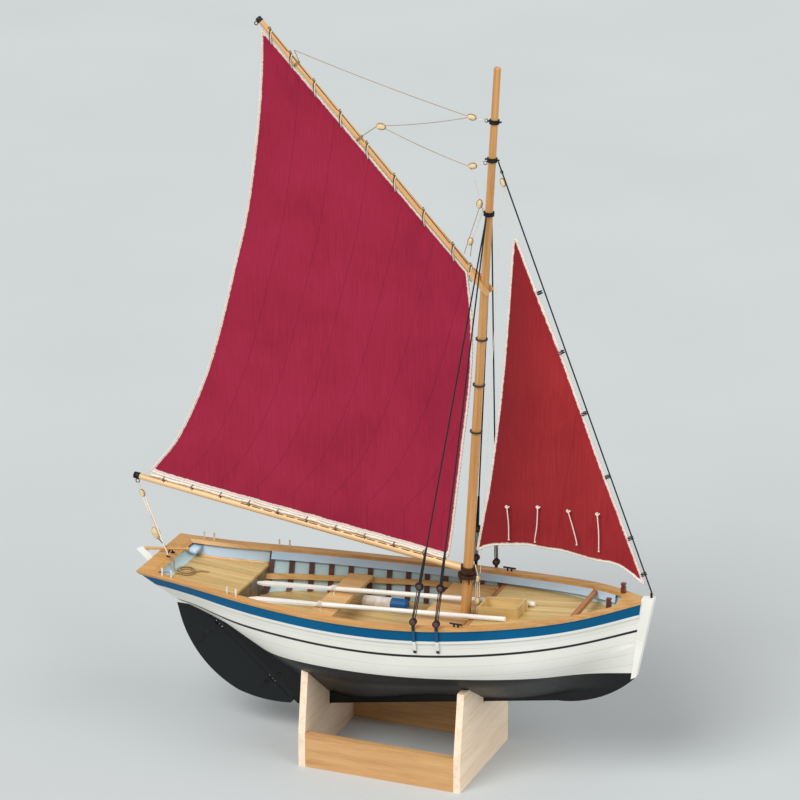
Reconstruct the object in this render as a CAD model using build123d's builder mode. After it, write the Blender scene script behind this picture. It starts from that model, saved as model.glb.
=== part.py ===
from build123d import *

import os
from math import cos, hypot, radians, sin, tan

os.makedirs("parts", exist_ok=True)

# Display model of a gaff fishing sloop on a wooden cradle, in millimetres. X runs towards the
# bow, Y to port and Z up. The table is z = 0, and the origin lies under the middle of the model.

# Planking and gaps
plank = 2.2  # thickness of the hull skin
seam = 0.05  # paint-thin gap between pieces bent to one curve
fit = 0.3  # clearance of pieces that seat on other curves
siding = 5.0  # width across the keel, posts and stem
strake_proud = 0.6  # how far the blue sheer strake stands out
strake_deep = 8.4
rubber_proud = 1.0
rubber_deep = 2.2
cap_thick = 2.5
cap_wide = 7.0
cap_overhang = 1.5
breasthook_x = 184.0
across = 90.0  # blocks that cut the hull reach this far to each side
past_end = 230.0  # and this far towards the bow and the stern

# Sheer line, two arcs that meet at its lowest point
sheer_low_x = -47.0
sheer_low_z = 131.9
sheer_fore_r = 1200.0
sheer_aft_r = 3500.0

# Hull sections from the transom to the stem. Columns: x and z of the section's foot, lean of
# its plane in degrees, height and half breadth at the sheer, half breadth and height of the
# bilge corner, radius of the bilge
rake = 48.73
hull_sections = [
    (-142.6, 92.0, rake, 65.0, 39.8, 26.0, 27.0, 22.0),
    (-126.0, 85.0, 26.0, 54.6, 45.2, 34.0, 26.0, 24.0),
    (-107.0, 75.0, 0.0, 58.5, 53.6, 45.0, 26.0, 26.0),
    (-47.0, 42.0, 0.0, 90.0, 62.9, 55.0, 42.0, 34.0),
    (13.0, 48.0, 0.0, 85.5, 65.9, 60.0, 35.0, 34.0),
    (73.0, 57.5, 0.0, 80.4, 60.2, 54.0, 32.0, 34.0),
    (133.0, 69.5, 0.0, 76.0, 45.2, 37.0, 30.0, 36.0),
    (178.0, 83.0, 0.0, 70.8, 22.5, 15.5, 34.0, 60.0),
    (195.5, 92.0, -6.0, 66.4, 3.2, 3.0, 30.0, 120.0),
]
hull_rise = 12.0  # how far the raw form runs above the sheer before it is cut
foot_rise = 1.2  # the floor of the hull is this many planks thick
least_halves = (0.5, 0.7, 0.8)  # half breadths left at foot, bilge and top where an inner form closes

# Backbone, on the centre plane
heel = (-75.9, 27.1)
keel_deep = 7.0
forefoot_x = 138.0
keel_fore_z = 66.0
forefoot_mid = (175.0, 76.2)
stem_foot = (199.5, 95.4)
stem_foot_aft_z = 93.4
stem_head = (212.0, 160.5)
stem_proud = 0.7  # how far the stem stands out from the forefoot's sides
deadwood_fore_x = -10.0
deadwood_top = (-90.0, 90.0)
forefoot_back = (189.5, 100.0)
transom_thick = 3.0
post_gap = 1.3  # from the rudder's axis to the sternpost and to the blade
post_long = 156.5

# Paint line between the white topsides and the black bottom
water_z = 90.0
water_slope = 2.4

# Decks and thwarts
aft_deck_x = -120.0
aft_deck_z = 119.8
aft_deck_slope = 3.6
deck_thick = 2.0
bulkhead_thick = 3.0
fore_deck_x = 76.0
fore_deck_z = 127.6
fore_deck_slope = 6.0
sole_z = 100.0
sole_fore_x = 110.0
thwart_thick = 2.6
thwart_top = 118.2
thwart_x = -43.5
thwart_wide = 19.0
mast_thwart_top = 122.6
mast_thwart_x = 50.0
mast_thwart_wide = 36.0
beam_wide = 3.4
beam_deep = 4.5

# Framing of the open hold
frame_pitch = 15.4
frame_wide = 3.6
frame_thick = 1.8
frame_count = 13
frame_first_x = -116.9
clamp_thick = 1.6
clamp_deep = 8.5
clamp_aft_x = -115.0
clamp_fore_x = 175.5
riser_thick = 2.6
riser_deep = 3.4
riser_line = [(-117.0, 113.0), (-26.0, 116.2), (70.0, 125.7)]

# Things in the boat
hatch_x = (77.0, 109.0)
hatch_half_wide = 11.0
hatch_high = 8.0
hatch_wall = 1.6
bow_bar_x = 156.0
bow_bar = 3.4
bitt_side = 3.4
bitt_waist = 2.4
oar_r = 1.9
oar_blade_long = 66.0
oar_blade_thick = 1.6
# Half the outline of an oar's blade. Columns: distance from its tip, half breadth
oar_blade_edge = [(0.0, 0.95), (6.0, 3.5), (39.6, 2.9), (66.0, 1.5)]
oar_socket = 6.0  # how far the loom runs into the blade
float_r = 4.6
float_edge = 1.5
float_long = 37.0
float_place = (-36.0, 36.0)
float_turn = 5.7  # degrees from the boat's length
oars = [("oar_port", 15.0, -114.5, 113.0), ("oar_starboard", -17.0, -108.0, 101.0)]
# Bitts. Columns: x, y, whether it stands on the cap rail, and height
bitt_places = [(182.6, 15.0, True, 7.5), (177.0, -2.0, False, 17.0)]
bitt_neck = 1.5
thole_x = (-166.0, -107.0)
thole_gap = 8.0
thole_r = 0.7
thole_high = 6.0
cleat_x = 77.0
cleat_long = 10.0
cleat_legs = 3.2
cleat_high = 2.2
cleat_r = 0.7

# Spars and sails
mast_foot = (62.9, 123.6)
mast_lean = 2.92
mast_up = 428.7
mast_r_foot = 4.0
mast_r_head = 2.6
mast_chamfer = 0.8
mast_hole_deep = 5.0
step_side = 14.0
step_high = 4.0
band_high = 3.0
band_thick = 1.0
lug_long = 1.6
lug_r = 0.7
lug_root = 0.4  # how deep a lug is let into its band
peak_band_z = 511.7
stay_band_z = 483.0
hounds_z = 442.0
# Bands on the mast. Columns: height, and the direction of one of the two lugs
band_lugs = [(peak_band_z, 1, 0), (stay_band_z, 1, 0), (hounds_z, 0, 1)]
hoop_z = (272.0, 309.0, 345.0)
hoop_thick = 0.9
hoop_high = 1.2
boom_aft = (-209.7, 196.5)
boom_fore_z = 160.4
boom_r = 2.9
boom_end_r = 2.3
spar_chamfer = 0.6
gaff_peak = (-101.5, 570.0)
gaff_throat_z = 386.0
gaff_r = 2.6
gaff_end_r = 2.0
jaw_long = 15.0
jaw_shoulder = 6.0
jaw_reach = 6.0
jaw_half_wide = 5.4
jaw_thick = 3.6
jaw_lip = 0.8
jaw_play_low = 12.0  # the jaws clear the mast's radius this far below the throat
slot_deep = 30.0
collar_high = 5.0
spider_high = 2.4
spider_wide = 3.6
spider_pin_drop = 4.0
spider_pin_count = 6
spider_pin_long = 6.6
spider_pin_r = 0.6
spider_pin_inset = 1.2
collar_thick = 1.4
running_gap = 0.4  # what turns round the mast clears it by this
sail_thick = 0.8
sail_gap = 0.3
clew_from_end = 13.0  # along the boom
tack_from_mast = 15.0
peak_from_end = 18.0  # along the gaff
throat_from_mast = 7.5
leech_mid = (-131.0, 362.0)
luff_mid = (65.0, 312.0)
jib_head_z = 426.7
jib_tack_z = 171.5
jib_clew = (72.6, 177.2)
jib_leech_mid = (93.0, 330.0)
jib_foot_mid = (145.0, 187.5)
stay_r = 0.55
stay_foot = (209.3, 0.0, 164.6)
stem_eye_r = 0.9

# Shrouds
shroud_foot_x = (46.4, 63.8)
deadeye_r = 2.7
deadeye_thick = 3.0
deadeye_low_z = 141.3
deadeye_high_z = 168.0
lanyard_r = 0.35
lanyard_off = 1.2
chainplate_wide = 2.4
chainplate_thick = 0.6
chainplate_drop = 21.0

# Rudder. Blade outline columns: distance up the axis from the heel, distance out from it
rudder_thick = 3.0
blade_edge = [(3.0, 3.5), (18.0, 17.5), (38.0, 29.6), (74.0, 33.5), (112.0, 19.7), (130.0, 7.5)]
rudder_head = 169.0
rudder_head_rise = 3.0
rudder_head_wide = 6.5
rudder_stock_wide = 12.0
strap_up = ((28.0, 16.0), (87.0, 27.0))  # height up the axis and reach of each strap
strap_high = 3.0
strap_thick = 0.5
pin_r = 0.6
barrel_r = 1.2
strap_base_thick = 0.8
strap_base_gap = 0.1
strap_play = 0.4  # room above a strap in its notch
barrel_room = 0.6  # and below the gudgeon
pin_past = 0.3  # how far a pin shows below its gudgeon
tiller_long = 38.0
tiller_aft = 14.0
tiller_r = 1.1
tiller_rise = 5.0
gudgeon_high = 2.4
gudgeon_reach = 9.0
gudgeon_face = -0.7
pin_gap = 0.25

# Cradle
cradle_x = 13.0
cradle_half_long = 65.9
board = 5.5
cradle_half_wide = 51.7
cradle_rail_z = 27.7
horn_half_wide = 44.3
horn_z = 78.1


def sheer_z(x):
    """Height of the sheer at x."""
    radius = sheer_fore_r if x > sheer_low_x else sheer_aft_r
    return sheer_low_z + (x - sheer_low_x) ** 2 / (2 * radius)


def mast_x(z):
    """Where the mast's axis stands at height z."""
    return mast_foot[0] + (z - mast_foot[1]) * tan(radians(mast_lean))


def mast_r(z):
    """Radius of the mast at height z."""
    return mast_r_foot + (mast_r_head - mast_r_foot) * (z - mast_foot[1]) / mast_up


def mast_point(z):
    """The point on the mast's axis at height z."""
    return (mast_x(z), 0, z)


def mast_plane(z):
    """A plane square to the mast at height z."""
    lean = radians(mast_lean)
    return Plane((mast_x(z), 0, z), x_dir=(cos(lean), 0, -sin(lean)), z_dir=(sin(lean), 0, cos(lean)))


def rudder_point(up, out):
    """The side-view point at a distance up the rudder's axis and out from it."""
    lean = radians(rake)
    return (heel[0] - up * sin(lean) - out * cos(lean), heel[1] + up * cos(lean) - out * sin(lean))


def rudder_plane(up):
    """A plane square to the rudder's axis."""
    x, z = rudder_point(up, 0)
    lean = radians(rake)
    return Plane((x, 0, z), x_dir=(0, 1, 0), z_dir=(-sin(lean), 0, cos(lean)))


def hull_form(inset):
    """The hull's body as a solid, its skin moved inwards by inset."""
    with BuildPart() as form:
        for x, z, lean, high, half, bilge_y, bilge_z, bilge_r in hull_sections:
            inwards = max(inset, 0)
            rise = hull_rise + inset
            flare = (half - bilge_y) / (high - bilge_z)
            top = (max(half + flare * rise - inset, least_halves[2]), high + rise)
            corner = (max(bilge_y - inset, least_halves[1]), bilge_z + inset / 2)
            foot = (max((siding - inwards) / 2, least_halves[0]), inwards * foot_rise)
            tilt = radians(lean)
            with BuildSketch(Plane((x, 0, z), x_dir=(0, 1, 0), z_dir=(cos(tilt), 0, sin(tilt)))):
                with BuildLine():
                    for side in (1, -1):
                        points = [(side * y, up) for y, up in (foot, corner, top)]
                        FilletPolyline(*points, radius=bilge_r - inset)
                    Line((foot[0], foot[1]), (-foot[0], foot[1]))
                    Line((top[0], top[1]), (-top[0], top[1]))
                make_face()
        loft()
    return form.part


def side_block(points, half_wide=across):
    """A block across the boat whose side view is the closed outline of points."""
    with BuildPart() as block:
        with BuildSketch(Plane.XZ):
            with BuildLine():
                Polyline(*points, close=True)
            make_face()
        extrude(amount=half_wide, both=True)
    return block.part


def sheer_band(top_drop, bottom_drop, x_aft=-past_end, x_fore=past_end):
    """A block across the boat between two lines at set drops below the sheer."""
    with BuildPart() as band:
        with BuildSketch(Plane.XZ):
            with BuildLine():
                for drop in (top_drop, bottom_drop):
                    for x_a, x_b in ((x_aft, sheer_low_x), (sheer_low_x, x_fore)):
                        stops = (x_a, (x_a + x_b) / 2, x_b)
                        ThreePointArc(*[(x, sheer_z(x) - drop) for x in stops])
                for x in (x_aft, x_fore):
                    Line((x, sheer_z(x) - top_drop), (x, sheer_z(x) - bottom_drop))
            make_face()
        extrude(amount=across, both=True)
    return band.part


def behind_transom(depth):
    """Everything aft of a plane that lies depth ahead of the transom's face."""
    x, z = hull_sections[0][0], hull_sections[0][1]
    lean = radians(rake)
    ahead = (x + depth * cos(lean), z + depth * sin(lean))
    low = (ahead[0] + across * sin(lean), ahead[1] - across * cos(lean))
    high = (ahead[0] - 2 * across * sin(lean), ahead[1] + 2 * across * cos(lean))
    return side_block([low, high, (high[0] - across, high[1]), (low[0] - past_end, low[1])])


def rod(start, end, radius):
    """A round bar from start to end."""
    run = Vector(*end) - Vector(*start)
    with BuildPart() as bar:
        with BuildSketch(Plane(start, z_dir=run)):
            Circle(radius)
        extrude(amount=run.length)
    return bar.part


def spar(start, end, start_r, end_r, end_chamfer):
    """A turned spar from start to end, tapered, with its far end chamfered."""
    run = Vector(*end) - Vector(*start)
    with BuildPart() as turned:
        with BuildSketch(Plane(start, x_dir=(0, 1, 0), z_dir=Vector(0, 1, 0).cross(run))):
            with BuildLine():
                Polyline(
                    (0, 0),
                    (start_r, 0),
                    (end_r, run.length - end_chamfer),
                    (end_r - end_chamfer, run.length),
                    (0, run.length),
                    close=True,
                )
            make_face()
        revolve(axis=Axis(start, run))
    return turned.part


def ring_on_mast(z, inner_r, outer_r, high):
    """A ring square to the mast with its middle at height z."""
    with BuildPart() as ring:
        with BuildSketch(mast_plane(z)):
            Circle(outer_r)
            Circle(inner_r, mode=Mode.SUBTRACT)
        extrude(amount=high / 2, both=True)
    return ring.part


def skin_y(form, x, z):
    """Half breadth of a form at a place."""
    ray = Edge.make_line((x, 0, z), (x, across, z))
    return max(vertex.Y for vertex in (ray & form).vertices())


def save(piece, name):
    """Label a finished piece and write its file."""
    piece.part.label = name
    export_step(piece.part, f"parts/{name}.step")


# Forms that the hull's pieces are cut from
outer_form = hull_form(0)
inner_form = hull_form(plank)
deck_form = hull_form(plank + seam)
rib_form = hull_form(plank + frame_thick)
clamp_outer = hull_form(plank + frame_thick + seam)
clamp_inner = hull_form(plank + frame_thick + seam + clamp_thick)
riser_inner = hull_form(plank + frame_thick + seam + riser_thick)
strake_form = hull_form(-strake_proud)
rubber_form = hull_form(-rubber_proud)
rubber_inner = hull_form(-seam)
cap_form = hull_form(-cap_overhang)
cap_inner = hull_form(cap_wide - cap_overhang)

strake_drop = cap_thick + strake_deep
water_rise = past_end * tan(radians(water_slope))
under_water = side_block(
    [(-past_end, water_z - water_rise), (past_end, water_z + water_rise), (past_end, 0), (-past_end, 0)]
)

# Hull skin, from the black bottom up to the cap rail
with BuildPart() as bottom_planking:
    add(outer_form)
    add(inner_form, mode=Mode.SUBTRACT)
    add(under_water, mode=Mode.INTERSECT)
save(bottom_planking, "bottom_planking")

with BuildPart() as topside_planking:
    add(outer_form)
    add(inner_form, mode=Mode.SUBTRACT)
    add(under_water, mode=Mode.SUBTRACT)
    add(sheer_band(strake_drop + seam, across), mode=Mode.INTERSECT)
save(topside_planking, "topside_planking")

with BuildPart() as sheer_strake:
    add(strake_form)
    add(inner_form, mode=Mode.SUBTRACT)
    add(sheer_band(cap_thick + seam, strake_drop), mode=Mode.INTERSECT)
save(sheer_strake, "sheer_strake")

with BuildPart() as rubbing_strake:
    add(rubber_form)
    add(rubber_inner, mode=Mode.SUBTRACT)
    add(sheer_band(strake_drop + seam, strake_drop + rubber_deep), mode=Mode.INTERSECT)
save(rubbing_strake, "rubbing_strake")

with BuildPart() as transom_board:
    add(deck_form)
    add(behind_transom(transom_thick), mode=Mode.INTERSECT)
    add(sheer_band(cap_thick + seam, across), mode=Mode.INTERSECT)
save(transom_board, "transom_board")

with BuildPart() as cap_rail:
    add(cap_form)
    add(cap_inner, mode=Mode.SUBTRACT)
    add(sheer_band(0, cap_thick), mode=Mode.INTERSECT)
    corners = [(breasthook_x, 0), (past_end, 0), (past_end, past_end), (breasthook_x, past_end)]
    add(cap_form & sheer_band(0, cap_thick) & side_block(corners))
    add(behind_transom(cap_wide), mode=Mode.SUBTRACT)
save(cap_rail, "cap_rail")

with BuildPart() as transom_cap:
    add(cap_form)
    add(behind_transom(cap_wide - seam), mode=Mode.INTERSECT)
    add(sheer_band(0, cap_thick), mode=Mode.INTERSECT)
save(transom_cap, "transom_cap")

# Backbone
keel_slope = (keel_fore_z - heel[1]) / (forefoot_x - heel[0])
last_x, last_z, last_lean = hull_sections[-1][:3]


def keel_z(x):
    """Height of the keel's underside at x."""
    return heel[1] + (x - heel[0]) * keel_slope


def stem_back_x(z):
    """Where the planks end against the stem at height z."""
    return last_x - (z - last_z) * tan(radians(last_lean))


def post_up(out, lift):
    """How far up the rudder's line a plane at out meets a line lift above the keel's underside."""
    x, z = rudder_point(0, out)
    lean = radians(rake)
    return (keel_z(x) + lift - z) / (cos(lean) + sin(lean) * keel_slope)


transom_x, transom_z = hull_sections[0][:2]
post_front = (transom_x - heel[0]) * cos(radians(rake)) + (transom_z - heel[1]) * sin(radians(rake))
transom_foot_up = (transom_z - heel[1]) * cos(radians(rake)) - (transom_x - heel[0]) * sin(radians(rake))
keel_end_up = post_up(-post_gap, keel_deep)

with BuildPart() as keel:
    with BuildSketch(Plane.XZ):
        with BuildLine():
            Polyline(
                rudder_point(post_up(-post_gap, 0), -post_gap),
                (forefoot_x, keel_z(forefoot_x)),
                (forefoot_x, keel_z(forefoot_x) + keel_deep),
                rudder_point(keel_end_up, -post_gap),
                close=True,
            )
        make_face()
    extrude(amount=siding / 2, both=True)
    add(outer_form, mode=Mode.SUBTRACT)
save(keel, "keel")

with BuildPart() as deadwood:
    with BuildSketch(Plane.XZ):
        with BuildLine():
            Polyline(
                rudder_point(post_up(-post_front, keel_deep), -post_front),
                (deadwood_fore_x, keel_z(deadwood_fore_x) + keel_deep),
                (deadwood_fore_x, keel_z(deadwood_fore_x) + 3 * keel_deep),
                deadwood_top,
                rudder_point(transom_foot_up + keel_deep, -post_front),
                close=True,
            )
        make_face()
    extrude(amount=siding / 2, both=True)
    add(outer_form, mode=Mode.SUBTRACT)
save(deadwood, "deadwood")

with BuildPart() as sternpost:
    with BuildSketch(Plane.XZ):
        with BuildLine():
            Polyline(
                rudder_point(keel_end_up, -post_gap),
                rudder_point(post_long, -post_gap),
                rudder_point(post_long, seam - post_front),
                rudder_point(post_up(seam - post_front, keel_deep), seam - post_front),
                close=True,
            )
        make_face()
    extrude(amount=siding / 2, both=True)
    add(outer_form, mode=Mode.SUBTRACT)
    add(transom_board.part, mode=Mode.SUBTRACT)
save(sternpost, "sternpost")

with BuildPart() as forefoot:
    with BuildSketch(Plane.XZ):
        with BuildLine():
            ThreePointArc((forefoot_x, keel_z(forefoot_x)), forefoot_mid, stem_foot)
            Polyline(
                stem_foot,
                (stem_back_x(stem_foot_aft_z), stem_foot_aft_z),
                forefoot_back,
                (forefoot_x, last_z),
                (forefoot_x, keel_z(forefoot_x)),
            )
        make_face()
    extrude(amount=siding / 2, both=True)
    add(outer_form, mode=Mode.SUBTRACT)
save(forefoot, "forefoot")

with BuildPart() as stem:
    stem_top_z = stem_head[1] - 1
    with BuildSketch(Plane.XZ):
        with BuildLine():
            Polyline(
                (stem_back_x(stem_foot_aft_z), stem_foot_aft_z),
                stem_foot,
                stem_head,
                (stem_back_x(stem_top_z), stem_top_z),
                close=True,
            )
        make_face()
    extrude(amount=siding / 2 + stem_proud, both=True)
save(stem, "stem")

# Framing and decks of the open boat
with BuildPart() as frames:
    add(deck_form)
    add(rib_form, mode=Mode.SUBTRACT)
    low, high = sole_z + seam, stem_head[1]
    ribs = [
        side_block([(x, low), (x + frame_wide, low), (x + frame_wide, high), (x, high)])
        for x in [frame_first_x + i * frame_pitch for i in range(frame_count)]
    ]
    add(Compound(children=ribs) & sheer_band(cap_thick + 2 * seam, 60), mode=Mode.INTERSECT)
save(frames, "frames")

with BuildPart() as clamp:
    add(clamp_outer)
    add(clamp_inner, mode=Mode.SUBTRACT)
    add(sheer_band(cap_thick + seam, clamp_deep, clamp_aft_x, clamp_fore_x), mode=Mode.INTERSECT)
save(clamp, "clamp")

with BuildPart() as riser:
    with BuildSketch(Plane.XZ):
        with BuildLine():
            ThreePointArc(*riser_line)
            ThreePointArc(*[(x, z - riser_deep) for x, z in riser_line])
            for x, z in (riser_line[0], riser_line[-1]):
                Line((x, z), (x, z - riser_deep))
        make_face()
    extrude(amount=across, both=True)
    add(clamp_outer, mode=Mode.INTERSECT)
    add(riser_inner, mode=Mode.SUBTRACT)
save(riser, "riser")

with BuildPart() as sole:
    add(deck_form)
    low, high = sole_z - deck_thick, sole_z
    add(
        side_block([(aft_deck_x, low), (sole_fore_x, low), (sole_fore_x, high), (aft_deck_x, high)]),
        mode=Mode.INTERSECT,
    )
save(sole, "sole")

aft_rise = tan(radians(aft_deck_slope))
deck_front_x = aft_deck_x + bulkhead_thick


def aft_deck_top(x):
    """Height of the aft deck at x."""
    return aft_deck_z - (x - aft_deck_x) * aft_rise


with BuildPart() as aft_deck:
    add(deck_form)
    ends = [(deck_front_x, 0), (-past_end, 0), (-past_end, -deck_thick), (deck_front_x, -deck_thick)]
    add(side_block([(x, aft_deck_top(x) + drop) for x, drop in ends]), mode=Mode.INTERSECT)
    add(behind_transom(transom_thick + seam), mode=Mode.SUBTRACT)
save(aft_deck, "aft_deck")

with BuildPart() as bulkhead:
    add(deck_form)
    top = [(x, aft_deck_top(x) - deck_thick - seam) for x in (deck_front_x, aft_deck_x)]
    add(side_block(top + [(aft_deck_x, sole_z + seam), (deck_front_x, sole_z + seam)]), mode=Mode.INTERSECT)
save(bulkhead, "bulkhead")

fore_rise = tan(radians(fore_deck_slope))


def fore_deck_top(x):
    """Height of the foredeck at x."""
    return fore_deck_z + (x - fore_deck_x) * fore_rise


with BuildPart() as foredeck:
    add(deck_form)
    ends = [(fore_deck_x, 0), (past_end, 0), (past_end, -deck_thick), (fore_deck_x, -deck_thick)]
    add(side_block([(x, fore_deck_top(x) + drop) for x, drop in ends]), mode=Mode.INTERSECT)
save(foredeck, "foredeck")

with BuildPart() as foredeck_beam:
    add(deck_form)
    beam_top = fore_deck_top(fore_deck_x) + seam
    beam_x = (fore_deck_x - seam - beam_wide, fore_deck_x - seam)
    corners = [(beam_x[0], beam_top), (beam_x[1], beam_top)]
    corners += [(x, z - beam_deep) for x, z in reversed(corners)]
    add(side_block(corners), mode=Mode.INTERSECT)
save(foredeck_beam, "foredeck_beam")

thwart_form = hull_form(plank + frame_thick + riser_thick + 3 * seam)


def thwart_board(x, top_z, wide):
    """A board from side to side, resting on the risers."""
    aft_x, fore_x, low_z = x - wide / 2, x + wide / 2, top_z - thwart_thick
    return thwart_form & side_block([(aft_x, top_z), (fore_x, top_z), (fore_x, low_z), (aft_x, low_z)])


with BuildPart() as thwart:
    add(thwart_board(thwart_x, thwart_top, thwart_wide))
save(thwart, "thwart")

with BuildPart() as mast_thwart:
    add(thwart_board(mast_thwart_x, mast_thwart_top, mast_thwart_wide))
    with BuildSketch(mast_plane(mast_thwart_top)):
        Circle(mast_r_foot + fit)
    extrude(amount=mast_hole_deep, both=True, mode=Mode.SUBTRACT)
save(mast_thwart, "mast_thwart")

hatch_long = hatch_x[1] - hatch_x[0]
hatch_mid = (hatch_x[0] + hatch_x[1]) / 2
deck_plane = Plane(
    (hatch_mid, 0, fore_deck_top(hatch_mid) + seam),
    x_dir=(1, 0, fore_rise),
    z_dir=(-fore_rise, 0, 1),
)
with BuildPart() as hatch_box:
    with BuildSketch(deck_plane):
        Rectangle(hatch_long, 2 * hatch_half_wide)
        Rectangle(hatch_long - 2 * hatch_wall, 2 * (hatch_half_wide - hatch_wall), mode=Mode.SUBTRACT)
    extrude(amount=hatch_high)
save(hatch_box, "hatch_box")

with BuildPart() as bow_bar_piece:
    add(clamp_inner)
    with Locations((bow_bar_x, 0, sheer_z(bow_bar_x) - cap_thick)):
        Box(bow_bar, across, bow_bar, align=(Align.CENTER, Align.CENTER, Align.MAX), mode=Mode.INTERSECT)
save(bow_bar_piece, "bow_bar")

with BuildPart() as bitts:
    for x, y, on_cap, high in bitt_places:
        fore_x = x + bitt_side / 2
        foot_z = (sheer_z(fore_x) if on_cap else fore_deck_top(fore_x)) + seam
        top_z = foot_z + high
        with BuildSketch(Plane.XY.offset(foot_z)):
            with Locations((x, y)):
                Rectangle(bitt_side, bitt_side)
        extrude(amount=top_z - foot_z - 2 * bitt_neck)
        with BuildSketch(Plane.XY.offset(top_z - 2 * bitt_neck)):
            with Locations((x, y)):
                Rectangle(bitt_waist, bitt_waist)
        extrude(amount=bitt_neck)
        with BuildSketch(Plane.XY.offset(top_z - bitt_neck)):
            with Locations((x, y)):
                Rectangle(bitt_side, bitt_side)
        extrude(amount=bitt_neck)
save(bitts, "bitts")

# Oars lie on the thwart's aft edge and, forward, on the foredeck
oar_seat_x = thwart_x - thwart_wide / 2
oar_seat_z = thwart_top + oar_r + 2 * seam
for name, y, blade_x, loom_x in oars:
    loom_z = fore_deck_top(loom_x) + oar_r + 2 * seam
    oar_rise = (loom_z - oar_seat_z) / (loom_x - oar_seat_x)
    blade_z = oar_seat_z + (blade_x - oar_seat_x) * oar_rise
    blade_end = blade_x + oar_blade_long
    tip_plane = Plane((blade_x, y, blade_z), x_dir=(1, 0, oar_rise), z_dir=(-oar_rise, 0, 1))
    with BuildPart() as oar:
        with BuildSketch(tip_plane):
            with BuildLine():
                other_edge = [(along, -half) for along, half in reversed(oar_blade_edge)]
                Polyline(*oar_blade_edge, *other_edge, close=True)
            make_face()
        extrude(amount=oar_blade_thick / 2, both=True)
        loom_start = (blade_end - oar_socket, y, blade_z + (oar_blade_long - oar_socket) * oar_rise)
        add(rod(loom_start, (loom_x, y, loom_z), oar_r))
    save(oar, name)

with BuildPart() as float_piece:
    x, y = float_place
    turn = radians(float_turn)
    with BuildSketch(Plane((x, y, sole_z + float_r + seam), z_dir=(cos(turn), sin(turn), 0))):
        Circle(float_r)
    extrude(amount=float_long)
    chamfer(float_piece.edges().filter_by(GeomType.CIRCLE), float_edge)
save(float_piece, "float")

with BuildPart() as thole_pins:
    for x in thole_x:
        for pin_x in (x - thole_gap / 2, x + thole_gap / 2):
            z = sheer_z(pin_x) + seam
            y = skin_y(cap_form, pin_x, sheer_z(pin_x) - cap_thick / 2) - cap_wide / 2
            for side in (1, -1):
                add(rod((pin_x, side * y, z), (pin_x, side * y, z + thole_high), thole_r))
save(thole_pins, "thole_pins")

with BuildPart() as cleats:
    foot_z = sheer_z(cleat_x + cleat_legs) + seam
    bar_z = foot_z + cleat_high
    y = skin_y(cap_form, cleat_x, sheer_z(cleat_x) - cap_thick / 2) - cap_wide / 2
    for side in (1, -1):
        for x in (cleat_x - cleat_legs / 2, cleat_x + cleat_legs / 2):
            add(rod((x, side * y, foot_z), (x, side * y, bar_z), cleat_r))
        aft_x, fore_x = cleat_x - cleat_long / 2, cleat_x + cleat_long / 2
        add(rod((aft_x, side * y, bar_z), (fore_x, side * y, bar_z), cleat_r))
save(cleats, "cleats")

# Mast and what is fixed to it
with BuildPart() as mast:
    foot_z, head_z = sole_z + step_high + fit, mast_foot[1] + mast_up
    add(spar(mast_point(foot_z), mast_point(head_z), mast_r(foot_z), mast_r(head_z), mast_chamfer))
save(mast, "mast")

with BuildPart() as mast_step:
    with BuildSketch(Plane.XY.offset(sole_z + seam)):
        with Locations((mast_x(sole_z), 0)):
            Rectangle(step_side, step_side)
    extrude(amount=step_high - seam)
save(mast_step, "mast_step")

with BuildPart() as mast_bands:
    for z, lug_x, lug_y in band_lugs:
        inner = mast_r(z - band_high / 2) + seam
        add(ring_on_mast(z, inner, inner + band_thick, band_high))
        root = inner + lug_root
        reach = inner + band_thick + lug_long
        for side in (1, -1):
            start = (mast_x(z) + side * lug_x * root, side * lug_y * root, z)
            end = (mast_x(z) + side * lug_x * reach, side * lug_y * reach, z)
            add(rod(start, end, lug_r))
save(mast_bands, "mast_bands")

boom_z = boom_fore_z
collar_inner = mast_r(boom_z) + running_gap
spider_z = boom_z - collar_high / 2 - 2 * running_gap - spider_high / 2
with BuildPart() as spider_band:
    inner = mast_r(spider_z - spider_high / 2) + seam
    add(ring_on_mast(spider_z, inner, inner + spider_wide, spider_high))
    with BuildSketch(mast_plane(spider_z - spider_high / 2 - spider_pin_drop)):
        with PolarLocations(inner + spider_wide - spider_pin_inset, spider_pin_count):
            Circle(spider_pin_r)
    extrude(amount=spider_pin_long)
save(spider_band, "spider_band")


def axis_point(start, end, along, aside):
    """A side-view point along the line from start to end and aside to its left."""
    run = hypot(end[0] - start[0], end[1] - start[1])
    ux, uz = (end[0] - start[0]) / run, (end[1] - start[1]) / run
    return (start[0] + ux * along - uz * aside, start[1] + uz * along + ux * aside)


# Main boom, gaff and their sail, which turn round the mast together
boom_tip = (boom_aft[0], 0, boom_aft[1])
boom_root = mast_point(boom_z)
boom_long = hypot(boom_root[0] - boom_tip[0], boom_root[2] - boom_tip[2])
with BuildPart() as boom:
    add(spar(boom_root, boom_tip, boom_r, boom_end_r, spar_chamfer))
    with BuildSketch(mast_plane(boom_z)):
        Circle(collar_inner + collar_thick + seam)
    extrude(amount=2 * boom_r, both=True, mode=Mode.SUBTRACT)
save(boom, "boom")

with BuildPart() as boom_collar:
    add(ring_on_mast(boom_z, collar_inner, collar_inner + collar_thick, collar_high))
save(boom_collar, "boom_collar")

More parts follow.
